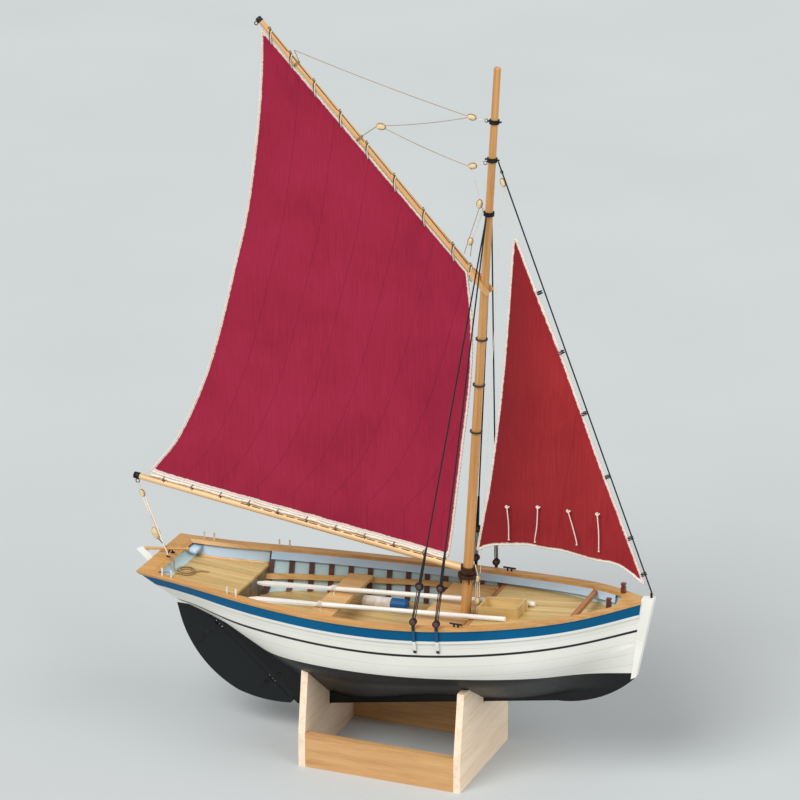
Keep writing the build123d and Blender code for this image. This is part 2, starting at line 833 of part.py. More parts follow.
gaff_tip = (gaff_peak[0], 0, gaff_peak[1])
gaff_root = mast_point(gaff_throat_z)
gaff_long = hypot(gaff_root[0] - gaff_tip[0], gaff_root[2] - gaff_tip[2])
taper_long = gaff_long - jaw_long
gaff_taper_x, gaff_taper_z = axis_point(gaff_peak, (gaff_root[0], gaff_root[2]), taper_long, 0)
gaff_taper_from = (gaff_taper_x, 0, gaff_taper_z)
jaw_inner = mast_r(gaff_throat_z - jaw_play_low) + running_gap
with BuildPart() as mast_slot:
    with BuildSketch(mast_plane(gaff_throat_z)):
        Circle(jaw_inner)
        with Locations((slot_deep / 2, 0)):
            Rectangle(slot_deep, 2 * jaw_inner)
    extrude(amount=slot_deep, both=True)

with BuildPart() as gaff:
    add(rod(gaff_root, gaff_taper_from, gaff_r))
    add(spar(gaff_taper_from, gaff_tip, gaff_r, gaff_end_r, spar_chamfer))
    add(mast_slot.part, mode=Mode.SUBTRACT)
save(gaff, "gaff")

with BuildPart() as gaff_jaws:
    towards_peak = Vector(*gaff_tip) - Vector(*gaff_root)
    flat = Plane(gaff_root, x_dir=towards_peak, z_dir=towards_peak.cross(Vector(0, 1, 0)))
    with BuildSketch(flat):
        with BuildLine():
            for side in (1, -1):
                Polyline(
                    (jaw_long, side * (gaff_r + jaw_lip)),
                    (jaw_shoulder, side * jaw_half_wide),
                    (-jaw_reach, side * jaw_half_wide),
                )
            Line((jaw_long, gaff_r + jaw_lip), (jaw_long, -gaff_r - jaw_lip))
            Line((-jaw_reach, jaw_half_wide), (-jaw_reach, -jaw_half_wide))
        make_face()
    extrude(amount=jaw_thick / 2, both=True)
    add(mast_slot.part, mode=Mode.SUBTRACT)
    add(rod(gaff_tip, gaff_root, gaff_r + seam), mode=Mode.SUBTRACT)
save(gaff_jaws, "gaff_jaws")

with BuildPart() as mast_hoops:
    for z in hoop_z:
        inner = mast_r(z) + running_gap
        add(ring_on_mast(z, inner, inner + hoop_thick, hoop_high))
save(mast_hoops, "mast_hoops")


def boom_edge(along):
    """Side-view point just above the boom."""
    radius = boom_end_r + (boom_r - boom_end_r) * along / boom_long
    return axis_point((boom_tip[0], boom_tip[2]), (boom_root[0], boom_root[2]), along, radius + sail_gap)


def gaff_edge(along):
    """Side-view point just below the gaff."""
    radius = min(gaff_r, gaff_end_r + (gaff_r - gaff_end_r) * along / taper_long)
    return axis_point((gaff_tip[0], gaff_tip[2]), (gaff_root[0], gaff_root[2]), along, -radius - sail_gap)


sail_clew = boom_edge(clew_from_end)
sail_tack = boom_edge(boom_long - tack_from_mast)
sail_throat = gaff_edge(gaff_long - throat_from_mast)
sail_peak = gaff_edge(peak_from_end)
with BuildPart() as mainsail:
    with BuildSketch(Plane.XZ):
        with BuildLine():
            Line(sail_clew, sail_tack)
            ThreePointArc(sail_tack, luff_mid, sail_throat)
            Line(sail_throat, sail_peak)
            ThreePointArc(sail_peak, leech_mid, sail_clew)
        make_face()
    extrude(amount=sail_thick / 2, both=True)
save(mainsail, "mainsail")

# Forestay, jib and shrouds
stay_top = (mast_x(stay_band_z) + mast_r(stay_band_z) + band_thick + lug_long - lug_r, 0.0, stay_band_z)
with BuildPart() as forestay:
    add(rod((stay_top[0], 0, stay_top[2] - lug_r - fit), stay_foot, stay_r))
save(forestay, "forestay")

with BuildPart() as stem_eye:
    back_x = stem_back_x(stem_top_z)
    eye_foot_z = stem_top_z + (stay_foot[0] - back_x) / (stem_head[0] - back_x) + seam
    add(rod((stay_foot[0], 0, eye_foot_z), (stay_foot[0], 0, stay_foot[2] - stay_r - seam), stem_eye_r))
save(stem_eye, "stem_eye")


def luff_point(z):
    """Side-view point of the jib's edge along the forestay."""
    top, foot = (stay_top[0], stay_top[2]), (stay_foot[0], stay_foot[2])
    run = hypot(foot[0] - top[0], foot[1] - top[1])
    along = (top[1] - z) / (top[1] - foot[1]) * run
    return axis_point(top, foot, along, -stay_r - sail_gap)


jib_head_at = luff_point(jib_head_z)
jib_tack_at = luff_point(jib_tack_z)
with BuildPart() as jib:
    with BuildSketch(Plane.XZ):
        with BuildLine():
            Line(jib_tack_at, jib_head_at)
            ThreePointArc(jib_head_at, jib_leech_mid, jib_clew)
            ThreePointArc(jib_clew, jib_foot_mid, jib_tack_at)
        make_face()
    extrude(amount=sail_thick / 2, both=True)
save(jib, "jib")

for side, word in ((-1, "starboard"), (1, "port")):
    with BuildPart() as shrouds:
        for foot_x in shroud_foot_x:
            foot_y = skin_y(cap_form, foot_x, sheer_z(foot_x) - cap_thick / 2) + fit + chainplate_thick / 2
            foot = Vector(foot_x, side * foot_y, deadeye_low_z)
            hounds_y = side * (mast_r(hounds_z) + band_thick + lug_long)
            hounds = Vector(mast_x(hounds_z), hounds_y, hounds_z - lug_r - fit)
            upper = foot + (hounds - foot) * ((deadeye_high_z - foot.Z) / (hounds.Z - foot.Z))
            for middle in (foot, upper):
                with BuildSketch(Plane(middle, z_dir=(0, 1, 0))):
                    Circle(deadeye_r)
                extrude(amount=deadeye_thick / 2, both=True)
            for off in (-lanyard_off, lanyard_off):
                shift = Vector(off, 0, 0)
                add(rod(foot + shift, upper + shift, lanyard_r))
            add(rod(upper, hounds, stay_r))
    save(shrouds, f"shrouds_{word}")

    with BuildPart() as chainplates:
        for foot_x in shroud_foot_x:
            cap_y = skin_y(cap_form, foot_x, sheer_z(foot_x) - cap_thick / 2) + fit
            low_z = sheer_z(foot_x) - chainplate_drop
            low_y = skin_y(outer_form, foot_x, low_z) + fit / 2
            rub_z = sheer_z(foot_x) - strake_drop - rubber_deep
            rub_y = skin_y(rubber_form, foot_x, rub_z) + fit
            top_z = deadeye_low_z - deadeye_r - seam
            inner = [(cap_y, top_z), (cap_y, sheer_z(foot_x) - cap_thick), (rub_y, rub_z), (low_y, low_z)]
            outline = inner + [(y + chainplate_thick, z) for y, z in reversed(inner)]
            with BuildSketch(Plane((foot_x, 0, 0), x_dir=(0, 1, 0), z_dir=(1, 0, 0))):
                with BuildLine():
                    Polyline(*[(side * y, z) for y, z in outline], close=True)
                make_face()
            extrude(amount=chainplate_wide / 2, both=True)
    save(chainplates, f"chainplates_{word}")

# Rudder, hung on the sternpost by two straps
cap_aft_x = transom_x - (sheer_z(thole_x[0]) - transom_z) * tan(radians(rake))
tiller_root = (cap_aft_x - tiller_aft, 0, sheer_z(cap_aft_x) + tiller_r + running_gap)
tiller_end = (tiller_root[0] + tiller_long, 0, tiller_root[2] + tiller_rise)
strap_base_out = post_gap + strap_base_gap
blade_room = running_gap + gudgeon_high + barrel_room
with BuildPart() as blade:
    with BuildSketch(Plane.XZ):
        with BuildLine():
            edge = [rudder_point(*spot) for spot in blade_edge]
            front_low = rudder_point(blade_edge[0][0], post_gap)
            front_high = rudder_point(rudder_head, post_gap)
            head_out = rudder_point(rudder_head + rudder_head_rise, rudder_head_wide)
            Line(front_low, edge[0])
            ThreePointArc(*edge[:3])
            ThreePointArc(edge[2], edge[3], edge[4])
            Polyline(edge[4], edge[5], head_out, front_high, front_low)
        make_face()
    extrude(amount=rudder_thick / 2, both=True)
    for up, reach in strap_up:
        notch_low, notch_high = up - strap_high / 2 - blade_room, up + strap_high / 2 + strap_play
        corners = [(notch_low, -post_gap), (notch_low, strap_base_out + strap_base_thick + seam)]
        corners += [(notch_high, out) for _, out in reversed(corners)]
        add(side_block([rudder_point(*spot) for spot in corners]), mode=Mode.SUBTRACT)

stock_side = [(-fit, -fit), (-fit, rudder_stock_wide), (past_end, rudder_stock_wide), (past_end, -fit)]
stock_block = side_block([rudder_point(*spot) for spot in stock_side])
with BuildPart() as rudder_stock:
    add(blade.part)
    add(stock_block, mode=Mode.INTERSECT)
    add(rod(tiller_root, tiller_end, tiller_r + seam), mode=Mode.SUBTRACT)
save(rudder_stock, "rudder_stock")

with BuildPart() as rudder_back:
    add(blade.part)
    add(stock_block, mode=Mode.SUBTRACT)
save(rudder_back, "rudder_back")


def rudder_box(up, out, half_wide, half_high):
    """A block in the rudder's own directions, between two distances out."""
    low, high = up - half_high, up + half_high
    corners = [(low, out[0]), (low, out[1]), (high, out[1]), (high, out[0])]
    return side_block([rudder_point(*spot) for spot in corners], half_wide)


with BuildPart() as rudder_straps:
    for up, reach in strap_up:
        base = (strap_base_out, strap_base_out + strap_base_thick)
        cheek = rudder_thick / 2 + seam
        bar = rudder_box(up, (strap_base_out, reach), cheek + strap_thick, strap_high / 2)
        slot = rudder_box(up, (base[1], reach + barrel_r), cheek, strap_high)
        add(bar - slot)
        add(rudder_box(up, (0, strap_base_out), barrel_r, strap_high / 2))
        with BuildSketch(rudder_plane(up - strap_high / 2)):
            Circle(barrel_r)
        extrude(amount=strap_high)
        with BuildSketch(rudder_plane(up - strap_high / 2)):
            Circle(pin_r)
        extrude(amount=-(running_gap + gudgeon_high + pin_past))
save(rudder_straps, "rudder_straps")

with BuildPart() as gudgeons:
    for up, reach in strap_up:
        middle = up - strap_high / 2 - running_gap - gudgeon_high / 2
        cheek = siding / 2 + seam
        ahead = gudgeon_reach if middle + 2 * gudgeon_reach < transom_foot_up else post_front - 2 * seam
        bar = rudder_box(middle, (-ahead, gudgeon_face), cheek + strap_thick, gudgeon_high / 2)
        slot = rudder_box(middle, (-gudgeon_reach - plank, -post_gap + seam), cheek, gudgeon_high)
        add(bar - slot)
        with BuildSketch(rudder_plane(middle - gudgeon_high / 2)):
            Circle(barrel_r)
        extrude(amount=gudgeon_high)
        with BuildSketch(rudder_plane(middle - gudgeon_high / 2)):
            Circle(pin_r + pin_gap)
        extrude(amount=gudgeon_high, mode=Mode.SUBTRACT)
save(gudgeons, "gudgeons")

with BuildPart() as tiller:
    add(rod(tiller_root, tiller_end, tiller_r))
    with Locations(tiller_end):
        Sphere(tiller_r * 1.5)
save(tiller, "tiller")

# Cradle, two cut-out plates and two rails
cradle_form = hull_form(-fit)
for end, word in ((-1, "aft"), (1, "fore")):
    outer_x = cradle_x + end * cradle_half_long
    with BuildPart() as cradle_plate:
        with BuildSketch(Plane((outer_x, 0, 0), x_dir=(0, 1, 0), z_dir=(1, 0, 0))):
            with BuildLine():
                Polyline(
                    (-cradle_half_wide, 0),
                    (cradle_half_wide, 0),
                    (cradle_half_wide, cradle_rail_z),
                    (horn_half_wide, horn_z),
                    (-horn_half_wide, horn_z),
                    (-cradle_half_wide, cradle_rail_z),
                    close=True,
                )
            make_face()
        extrude(amount=-end * board)
        add(cradle_form, mode=Mode.SUBTRACT)
        slot_z = keel_z(outer_x - (board if end > 0 else 0)) - fit
        with Locations((outer_x, 0, slot_z)):
            wide, aligned = siding + 2 * fit, (Align.CENTER, Align.CENTER, Align.MIN)
            Box(4 * board, wide, horn_z, align=aligned, mode=Mode.SUBTRACT)
    save(cradle_plate, f"cradle_plate_{word}")

for side, word in ((-1, "starboard"), (1, "port")):
    with BuildPart() as cradle_rail:
        long = 2 * (cradle_half_long - board)
        with Locations((cradle_x, side * cradle_half_wide, 0)):
            Box(
                long, board, cradle_rail_z,
                align=(Align.CENTER, Align.MAX if side > 0 else Align.MIN, Align.MIN),
            )
    save(cradle_rail, f"cradle_rail_{word}")
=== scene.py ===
import bmesh
import bpy
import numpy as np
from functools import partial
from math import pi, radians, tan
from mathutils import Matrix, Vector


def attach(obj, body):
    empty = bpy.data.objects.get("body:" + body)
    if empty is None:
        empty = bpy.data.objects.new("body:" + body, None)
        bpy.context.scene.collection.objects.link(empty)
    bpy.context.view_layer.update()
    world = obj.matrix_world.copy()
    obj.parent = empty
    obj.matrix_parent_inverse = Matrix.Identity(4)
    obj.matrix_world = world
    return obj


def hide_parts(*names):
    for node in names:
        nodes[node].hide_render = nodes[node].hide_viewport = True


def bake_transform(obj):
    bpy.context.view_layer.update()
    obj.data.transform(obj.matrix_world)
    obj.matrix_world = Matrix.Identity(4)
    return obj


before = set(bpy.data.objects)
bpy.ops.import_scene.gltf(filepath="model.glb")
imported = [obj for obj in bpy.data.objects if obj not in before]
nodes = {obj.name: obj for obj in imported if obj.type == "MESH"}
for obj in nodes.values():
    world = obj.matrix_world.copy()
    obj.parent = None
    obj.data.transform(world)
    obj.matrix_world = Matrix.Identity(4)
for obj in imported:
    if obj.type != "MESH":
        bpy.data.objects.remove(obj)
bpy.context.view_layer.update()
mm = 0.001


# Puts data into the scene as an object
def newObject(name, data):
    made = bpy.data.objects.new(name, data)
    bpy.context.scene.collection.objects.link(made)
    return made


# The camera stands where the photograph's did
view = {"eye": (1.0472, -2.6109, 1.3406), "target": (0.0098, 0.0, 0.2883), "lens": 181.63, "sensor": 36.0}
cameraData = bpy.data.cameras.new("camera")
cameraData.lens = view["lens"]
cameraData.sensor_width = view["sensor"]
camera = newObject("camera", cameraData)
camera.location = view["eye"]
camera.rotation_euler = (Vector(view["target"]) - Vector(view["eye"])).to_track_quat("-Z", "Y").to_euler()
bpy.context.scene.camera = camera
print("camera placed")


# A colour written as sRGB hex, as the linear light that the shader takes
def linear(colour):
    channels = np.array([int(colour[i:i + 2], 16) for i in (1, 3, 5)]) / 255
    light = np.where(channels <= 0.04045, channels / 12.92, ((channels + 0.055) / 1.055) ** 2.4)
    return (*light.tolist(), 1.0)


# Adds one shader node. Inputs are values or the sockets that feed them, in the node's own order or
# by name, and stops colour a ramp from its low end up
def node(tree, kind, inputs=(), out=0, stops=(), **settings):
    made = tree.nodes.new("ShaderNode" + kind)
    for name, value in settings.items():
        setattr(made, name, value)
    for key, value in inputs.items() if isinstance(inputs, dict) else enumerate(inputs):
        if isinstance(value, bpy.types.NodeSocket):
            tree.links.new(value, made.inputs[key])
        else:
            made.inputs[key].default_value = value
    for i, (place, colour) in enumerate(stops):
        band = made.color_ramp.elements
        step = band[i] if i < 2 else band.new(place)
        step.position = place
        step.color = linear(colour)
    return made.outputs[out] if len(made.outputs) else None


# A material with one principled shader, whose inputs the recipe works out from the place on the object
def material(name, recipe, *look):
    made = bpy.data.materials.new(name)
    made.use_nodes = True
    tree = made.node_tree
    tree.nodes.clear()
    add = partial(node, tree)
    place = add("TexCoord", out="Object")
    shader = add("BsdfPrincipled", recipe(add, place, *look))
    add("OutputMaterial", {"Surface": shader})
    return made


# Wood with its grain along one direction: long soft bands of colour, fine dark fibres and pores,
# a sheen that follows the fibres, and where strips is given, thin joints between laid strips
def wood(add, place, look):
    size = look["grain"] * mm
    along = add("Mapping", {"Vector": place, "Rotation": look.get("turn", (0, 0, 0)),
                            "Scale": (look["length"] * mm, size, size)}, vector_type="TEXTURE")
    bands = add("TexNoise", {"Vector": along, "Scale": 0.35, "Detail": 3.0, "Distortion": 0.6})
    fibres = add("TexNoise", {"Vector": along, "Scale": 2.2, "Detail": 5.0, "Roughness": 0.65})
    tone = add("MixRGB", (0.42, bands, fibres))
    joint = None
    if "strips" in look:
        axis, pitch = look["strips"]
        across = add("SeparateXYZ", (place,), out=axis)
        steps = add("Math", (across, pitch * mm), operation="DIVIDE")
        which = add("Math", (steps,), operation="FLOOR")
        shade = add("TexWhiteNoise", {"W": which}, noise_dimensions="1D")
        tone = add("MixRGB", (0.26, tone, shade))
        edge = add("Math", (across, pitch * mm / 2), operation="PINGPONG")
        joint = add("MapRange", (edge, 0.00008, 0.00026, 0.55, 0.0))
    colour = add("ValToRGB", (tone,), stops=zip((0.3, 0.52, 0.72), look["tones"].split()))
    if joint:
        colour = add("MixRGB", (joint, colour, linear(look["joint"])))
    gloss = add("MapRange", (fibres, 0.3, 0.7, look["rough"] + 0.1, look["rough"] - 0.06))
    relief = add("Bump", {"Height": fibres, "Strength": look.get("relief", 0.25), "Distance": 0.00006})
    if joint:
        relief = add("Bump", {"Height": joint, "Strength": 0.5, "Distance": 0.00015, "Normal": relief}, invert=True)
    return {"Base Color": colour, "Roughness": gloss, "Normal": relief, "Coat Weight": look.get("varnish", 0.25),
            "Coat Roughness": 0.3}


# What marks do to a surface: its gloss drifts about a roughness, and they stand in slight relief
def marked(add, marks, rough, dull, bright, strength, depth):
    gloss = add("MapRange", (marks, 0.3, 0.7, rough + dull, rough - bright))
    relief = add("Bump", {"Height": marks, "Strength": strength, "Distance": depth * mm})
    return {"Roughness": gloss, "Normal": relief}


# Brushed satin paint: one colour with a slight drift of tone, and brush marks in its gloss
def paint(add, place, look):
    drift = add("TexNoise", {"Vector": place, "Scale": 22.0, "Detail": 3.0})
    strokes = add("Mapping", {"Vector": place, "Scale": (0.03, 0.0012, 0.0012)}, vector_type="TEXTURE")
    marks = add("TexNoise", {"Vector": strokes, "Scale": 1.6, "Detail": 3.0})
    colour = add("ValToRGB", (drift,), stops=zip((0.3, 0.7), look["tones"].split()))
    return {"Base Color": colour, **marked(add, marks, look["rough"], 0.07, 0.05, 0.15, 0.05),
            "Specular IOR Level": look.get("shine", 0.4)}


# How far a point lies below the sheer, which is an arc each way from its lowest point
sheer = {"lowX": -0.047, "lowZ": 0.1319, "fore": 2.4, "aft": 7.0}


def dropBelowSheer(add, place):
    x, z = (add("SeparateXYZ", (place,), out=axis) for axis in "XZ")
    fromLow = add("Math", (x, sheer["lowX"]), operation="SUBTRACT")
    ahead = add("Math", (fromLow, 0.0), operation="MAXIMUM")
    behind = add("Math", (fromLow, 0.0), operation="MINIMUM")
    aheadRise = add("Math", (ahead, ahead), operation="MULTIPLY")
    behindRise = add("Math", (behind, behind), operation="MULTIPLY")
    level = add("Math", (aheadRise, 1 / sheer["fore"], sheer["lowZ"]), operation="MULTIPLY_ADD")
    level = add("Math", (behindRise, 1 / sheer["aft"], level), operation="MULTIPLY_ADD")
    return add("Math", (level, z), operation="SUBTRACT")


# How far a value lies from a mark, either way
def away(add, value, mark):
    gap = add("Math", (value, mark), operation="SUBTRACT")
    return add("Math", (gap,), operation="ABSOLUTE")


# The painted hull: white outside with a black line that follows the sheer and faint plank joints,
# pale turquoise inside, and a thin darker edge of dirt along each joint
def hullPaint(add, place, look):
    drop = dropBelowSheer(add, place)
    drift = add("TexNoise", {"Vector": place, "Scale": 14.0, "Detail": 4.0})
    colour = add("ValToRGB", (drift,), stops=zip((0.32, 0.7), look["tones"].split()))
    joint = None
    for seam in look["joints"]:
        line = add("MapRange", (away(add, drop, seam * mm), 0.00008, 0.00034, 1.0, 0.0))
        joint = line if joint is None else add("Math", (joint, line), operation="MAXIMUM")
    worn = add("Math", (joint, look["jointDirt"]), operation="MULTIPLY")
    colour = add("MixRGB", (worn, colour, linear("#8C8F86")))
    if "line" in look:
        middle, half = look["line"][0] * mm, look["line"][1] / 2 * mm
        band = add("MapRange", (away(add, drop, middle), half - 0.0001, half + 0.0001, 1.0, 0.0))
        colour = add("MixRGB", (band, colour, linear(look["lineColour"])))
    facing = add("NewGeometry", out="Normal")
    if look.get("endGrain"):
        outwards = add("SeparateXYZ", (facing,), out="X")
        outwards = add("Math", (outwards, -1.0), operation="MULTIPLY")
    else:
        facingY = add("SeparateXYZ", (facing,), out="Y")
        y = add("SeparateXYZ", (place,), out="Y")
        outwards = add("Math", (facingY, y), operation="MULTIPLY")
    inner = add("Math", (outwards, 0.0), operation="LESS_THAN")
    colour = add("MixRGB", (inner, colour, linear(look["inside"])))
    relief = add("Bump", {"Height": joint, "Strength": 0.35, "Distance": 0.00012}, invert=True)
    relief = add("Bump", {"Height": drift, "Strength": 0.1, "Distance": 0.0004, "Normal": relief})
    return {"Base Color": colour, "Roughness": look["rough"], "Normal": relief, "Coat Weight": look.get("coat", 0.08),
            "Coat Roughness": 0.35, "Specular IOR Level": look.get("shine", 0.4)}


# Black below a level line and white above it, as rudder and sternpost are painted to the waterline
def waterlinePaint(add, place, look):
    z = add("SeparateXYZ", (place,), out="Z")
    above = add("MapRange", (z, (look["line"] - 0.15) * mm, (look["line"] + 0.15) * mm, 0.0, 1.0))
    marks = add("TexNoise", {"Vector": place, "Scale": 120.0, "Detail": 4.0})
    colour = add("MixRGB", (above, linear(look["low"]), linear(look["high"])))
    return {"Base Color": colour, **marked(add, marks, look["rough"], 0.08, 0.05, 0.15, 0.1),
            "Specular IOR Level": look["shine"]}


# Iron straps painted over with the hull: bare dark iron above the rail and at the lower tip, blue
# on the strake, white between
def strapPaint(add, place, look):
    drop = dropBelowSheer(add, place)
    colour = linear(look["iron"])
    for depth, tone in ((1.2, "blue"), (10.9, "white"), (18.6, "iron")):
        below = add("MapRange", (drop, (depth - 0.1) * mm, (depth + 0.1) * mm, 0.0, 1.0))
        colour = add("MixRGB", (below, colour, linear(look[tone])))
    wear = add("TexNoise", {"Vector": place, "Scale": 300.0, "Detail": 4.0})
    return {"Base Color": colour, **marked(add, wear, 0.45, 0.1, 0.07, 0.2, 0.08)}


# Dyed cotton: crossed threads in relief, darker doubled hems and seams with their stitches, soft
# blotches where the dye took unevenly, and a pale tape with a frayed edge along the borders
def cotton(add, place, look):
    x, z = (add("SeparateXYZ", (place,), out=axis) for axis in "XZ")
    thread = look["thread"] * mm
    warp, weft = (add("Math", (way, thread), operation="PINGPONG") for way in (x, z))
    weave = add("Math", (warp, weft), operation="ADD")
    weave = add("Math", (weave, 2 * thread), operation="DIVIDE")
    slubs = add("Mapping", {"Vector": place, "Scale": (0.0012, 0.01, 0.03)}, vector_type="TEXTURE")
    slubs = add("TexNoise", {"Vector": slubs, "Scale": 1.5, "Detail": 4.0, "Roughness": 0.7})
    blotch = add("TexNoise", {"Vector": place, "Scale": 16.0, "Detail": 4.0, "Distortion": 0.4})
    tone = add("MixRGB", (0.5, slubs, blotch))
    colour = add("ValToRGB", (tone,), stops=zip((0.34, 0.5, 0.68), look["tones"].split()))
    # Painted shade: where asked, the cloth darkens towards its leech, standing in for the shadow that the mast and
    # mainsail cast on it
    if "fade" in look:
        low, high, toneLow = look["fade"]
        side = add("Attribute", attribute_name="fromLeech", out="Fac")
        leechShadeMask = add("MapRange", (side, low * mm, high * mm, toneLow, 0.0))
        colour = add("MixRGB", (leechShadeMask, colour, linear(look["fadeColour"])))
    edge = add("Attribute", attribute_name="fromEdge", out="Fac")
    hem = add("MapRange", (edge, 0.0030, 0.0033, 1.0, 0.0))
    stitch = add("MapRange", (away(add, edge, 0.0031), 0.00012, 0.0003, 1.0, 0.0))
    across = add("Attribute", attribute_name="fromLeech", out="Fac")
    panel = add("Math", (across, look["panel"] * mm / 2), operation="PINGPONG")
    seam = add("MapRange", (panel, 0.0002, 0.0006, 1.0, 0.0))
    line = add("Math", (stitch, seam), operation="MAXIMUM")
    lineTone = add("Math", (line, look["seamTone"]), operation="MULTIPLY")
    colour = add("MixRGB", (lineTone, colour, linear(look["seam"])))
    bare = add("Attribute", attribute_name="bare", out="Fac")
    frayed = add("TexNoise", {"Vector": place, "Scale": 420.0, "Detail": 3.0})
    frayed = add("MapRange", (frayed, 0.3, 0.7, -0.0003, 0.0003))
    frayed = add("Math", (bare, frayed), operation="ADD")
    tape = add("MapRange", (frayed, -0.0002, 0.0004, 0.92, 0.0))
    colour = add("MixRGB", (tape, colour, linear(look["tape"])))
    cloth = add("Math", (hem, 0.5), operation="MULTIPLY")
    raised = add("Math", (cloth, seam), operation="ADD")
    relief = add("Bump", {"Height": weave, "Strength": 0.35, "Distance": 0.0001})
    relief = add("Bump", {"Height": slubs, "Strength": 0.35, "Distance": 0.00025, "Normal": relief})
    relief = add("Bump", {"Height": raised, "Strength": 0.5, "Distance": 0.00025, "Normal": relief})
    return {"Base Color": colour, "Roughness": 0.9, "Normal": relief, "Sheen Weight": 0.08, "Sheen Roughness": 0.5,
            "Specular IOR Level": 0.15}


# Twisted cord: slight changes of tone along it and fibres too fine to see one by one
def cordage(add, place, look):
    fuzz = add("TexNoise", {"Vector": place, "Scale": 900.0, "Detail": 3.0})
    drift = add("TexNoise", {"Vector": place, "Scale": 60.0, "Detail": 2.0})
    tone = add("MixRGB", (0.5, fuzz, drift))
    colour = add("ValToRGB", (tone,), stops=zip((0.3, 0.7), look["tones"].split()))
    relief = add("Bump", {"Height": fuzz, "Strength": 0.4, "Distance": 0.00008})
    return {"Base Color": colour, "Roughness": 0.85, "Normal": relief, "Sheen Weight": 0.05}


# Metal with a thin finish: its gloss varies where fingers and tools touched it
def ironwork(add, place, look):
    wear = add("TexNoise", {"Vector": place, "Scale": 260.0, "Detail": 4.0})
    colour = add("ValToRGB", (wear,), stops=zip((0.35, 0.75), look["tones"].split()))
    surface = marked(add, wear, look["rough"], 0.12, 0.08, 0.2, 0.08)
    return {"Base Color": colour, "Metallic": look["metal"], **surface}


mastLine = {"foot": (62.9, 123.6), "rake": 2.92}
sparTilts = {"mast": mastLine["rake"] - 90, "boom": 7.5, "gaff": 46.0}
honey = {"tones": "#B98243 #D2A25E #E2B878", "grain": 1.3, "length": 26, "rough": 0.42}
board = {"grain": 1.6, "length": 34, "rough": 0.5, "varnish": 0.1, "relief": 0.4}
looks = {
    "deck": {"strips": ("Y", 4.0), "joint": "#93703C", "tones": "#BA9658 #D0B072 #DFC38A"},
    "rail": {"tones": "#B47E3E #CE9A55 #DDAF70"},
    "thwart": {"tones": "#B08148 #CC9F62 #DCB47A"},
    "beam": {"tones": "#84492A #A96C3A #C48A52", "turn": (0, 0, pi / 2)},
    "frames": {"tones": "#3F1F1E #59302C #6E3F38", "turn": (0, 0, pi / 2)},
    "bitts": {"tones": "#4A2219 #6E3726 #8A4A30", "turn": (0, pi / 2, 0)},
    "bulkhead": {"tones": "#4E4335 #6F604A #8B7C62", "turn": (0, 0, pi / 2),
                 "strips": ("Y", 5.0), "joint": "#3C3327"},
    "mast": {"tones": "#AA7238 #CA9355 #DCAC6E"},
    "boom": {"tones": "#C18F58 #E0B67F #ECCB9C"},
    "gaff": {"tones": "#B98046 #D6A466 #E6BF8A"},
    # The plates are the same wood as the rails; their paler tones are painted light, standing in for the bright light
    # on their faces
    "plate": {**board, "tones": "#E6C6A0 #F6DFC4 #FBEBD6", "turn": (0, 0, pi / 2)},
    "rails": {**board, "tones": "#B07C49 #CB9B64 #D9B07A"},
}
for name, degrees in sparTilts.items():
    looks[name] = {**looks[name], "turn": (0, radians(degrees), 0), "grain": 0.9, "length": 45}
woods = {name: material(f"varnished_{name}_wood", wood, {**honey, **look}) for name, look in looks.items()}

white = {"tones": "#DFDED4 #ECEAE2", "joints": (13.8, 17.6, 33.0, 42.0, 51.0), "jointDirt": 0.25,
         "inside": "#BCD9DC", "rough": 0.38}
paints = {
    "hull": material("brushed_white_hull_paint", hullPaint,
                     {**white, "line": (24.0, 2.0), "lineColour": "#131417"}),
    "transom": material("brushed_white_transom_paint", hullPaint,
                        {**white, "joints": (22.0, 33.0, 44.0), "line": (6.7, 8.3), "lineColour": "#005A8C",
                         "endGrain": True}),
    "stem": material("brushed_white_stem_paint", paint, {"tones": "#DEDCD2 #EFEDE6", "rough": 0.4}),
    "blue": material("brushed_blue_strake_paint", hullPaint,
                     {"tones": "#00527A #005F8C", "joints": (5.0,), "jointDirt": 0.0,
                      "inside": "#B9CFDE", "rough": 0.45, "shine": 0.12, "coat": 0.0}),
    "pale": material("brushed_pale_blue_paint", paint, {"tones": "#AFCDE4 #C4DCEE", "rough": 0.45}),
    "black": material("brushed_black_bottom_paint", paint,
                      {"tones": "#07080A #0E0F11", "rough": 0.38, "shine": 0.3}),
    "rudder": material("brushed_rudder_paint", waterlinePaint, {"line": 96.0, "low": "#111517", "high": "#EFEDE6",
                                                                "rough": 0.4, "shine": 0.3}),
    "irons": material("painted_iron_strap", strapPaint, {"iron": "#131214", "blue": "#00466A", "white": "#E6E4DC"}),
    "oar": material("brushed_white_oar_paint", paint, {"tones": "#E0DBD0 #F1EEE8", "rough": 0.42}),
}
cloths = {
    "main": material("dyed_crimson_cotton", cotton,
                     {"tones": "#8B1A34 #9A213C #A32745", "seam": "#6C1229", "seamTone": 0.3,
                      "panel": 30.0, "thread": 0.7, "tape": "#F0E0D6"}),
    # The jib's darkening towards its leech is painted shade, a shadow from the mast and mainsail
    "jib": material("dyed_red_cotton", cotton,
                    {"tones": "#831C22 #95252A #A02E31", "seam": "#70171D", "seamTone": 0.25,
                     "panel": 60.0, "thread": 0.7, "tape": "#F0E0D6", "fade": (2.0, 40.0, 0.6),
                     "fadeColour": "#74171F"}),
}
cords = {
    "cream": material("twisted_cream_linen", cordage, {"tones": "#DDCDB8 #F6EEE2"}),
    "tan": material("twisted_tan_linen", cordage, {"tones": "#8A6E45 #B79A6A"}),
    "brown": material("twisted_brown_linen", cordage, {"tones": "#3E2A1D #6B4B33"}),
    "black": material("waxed_black_cord", cordage, {"tones": "#070608 #151315"}),
}
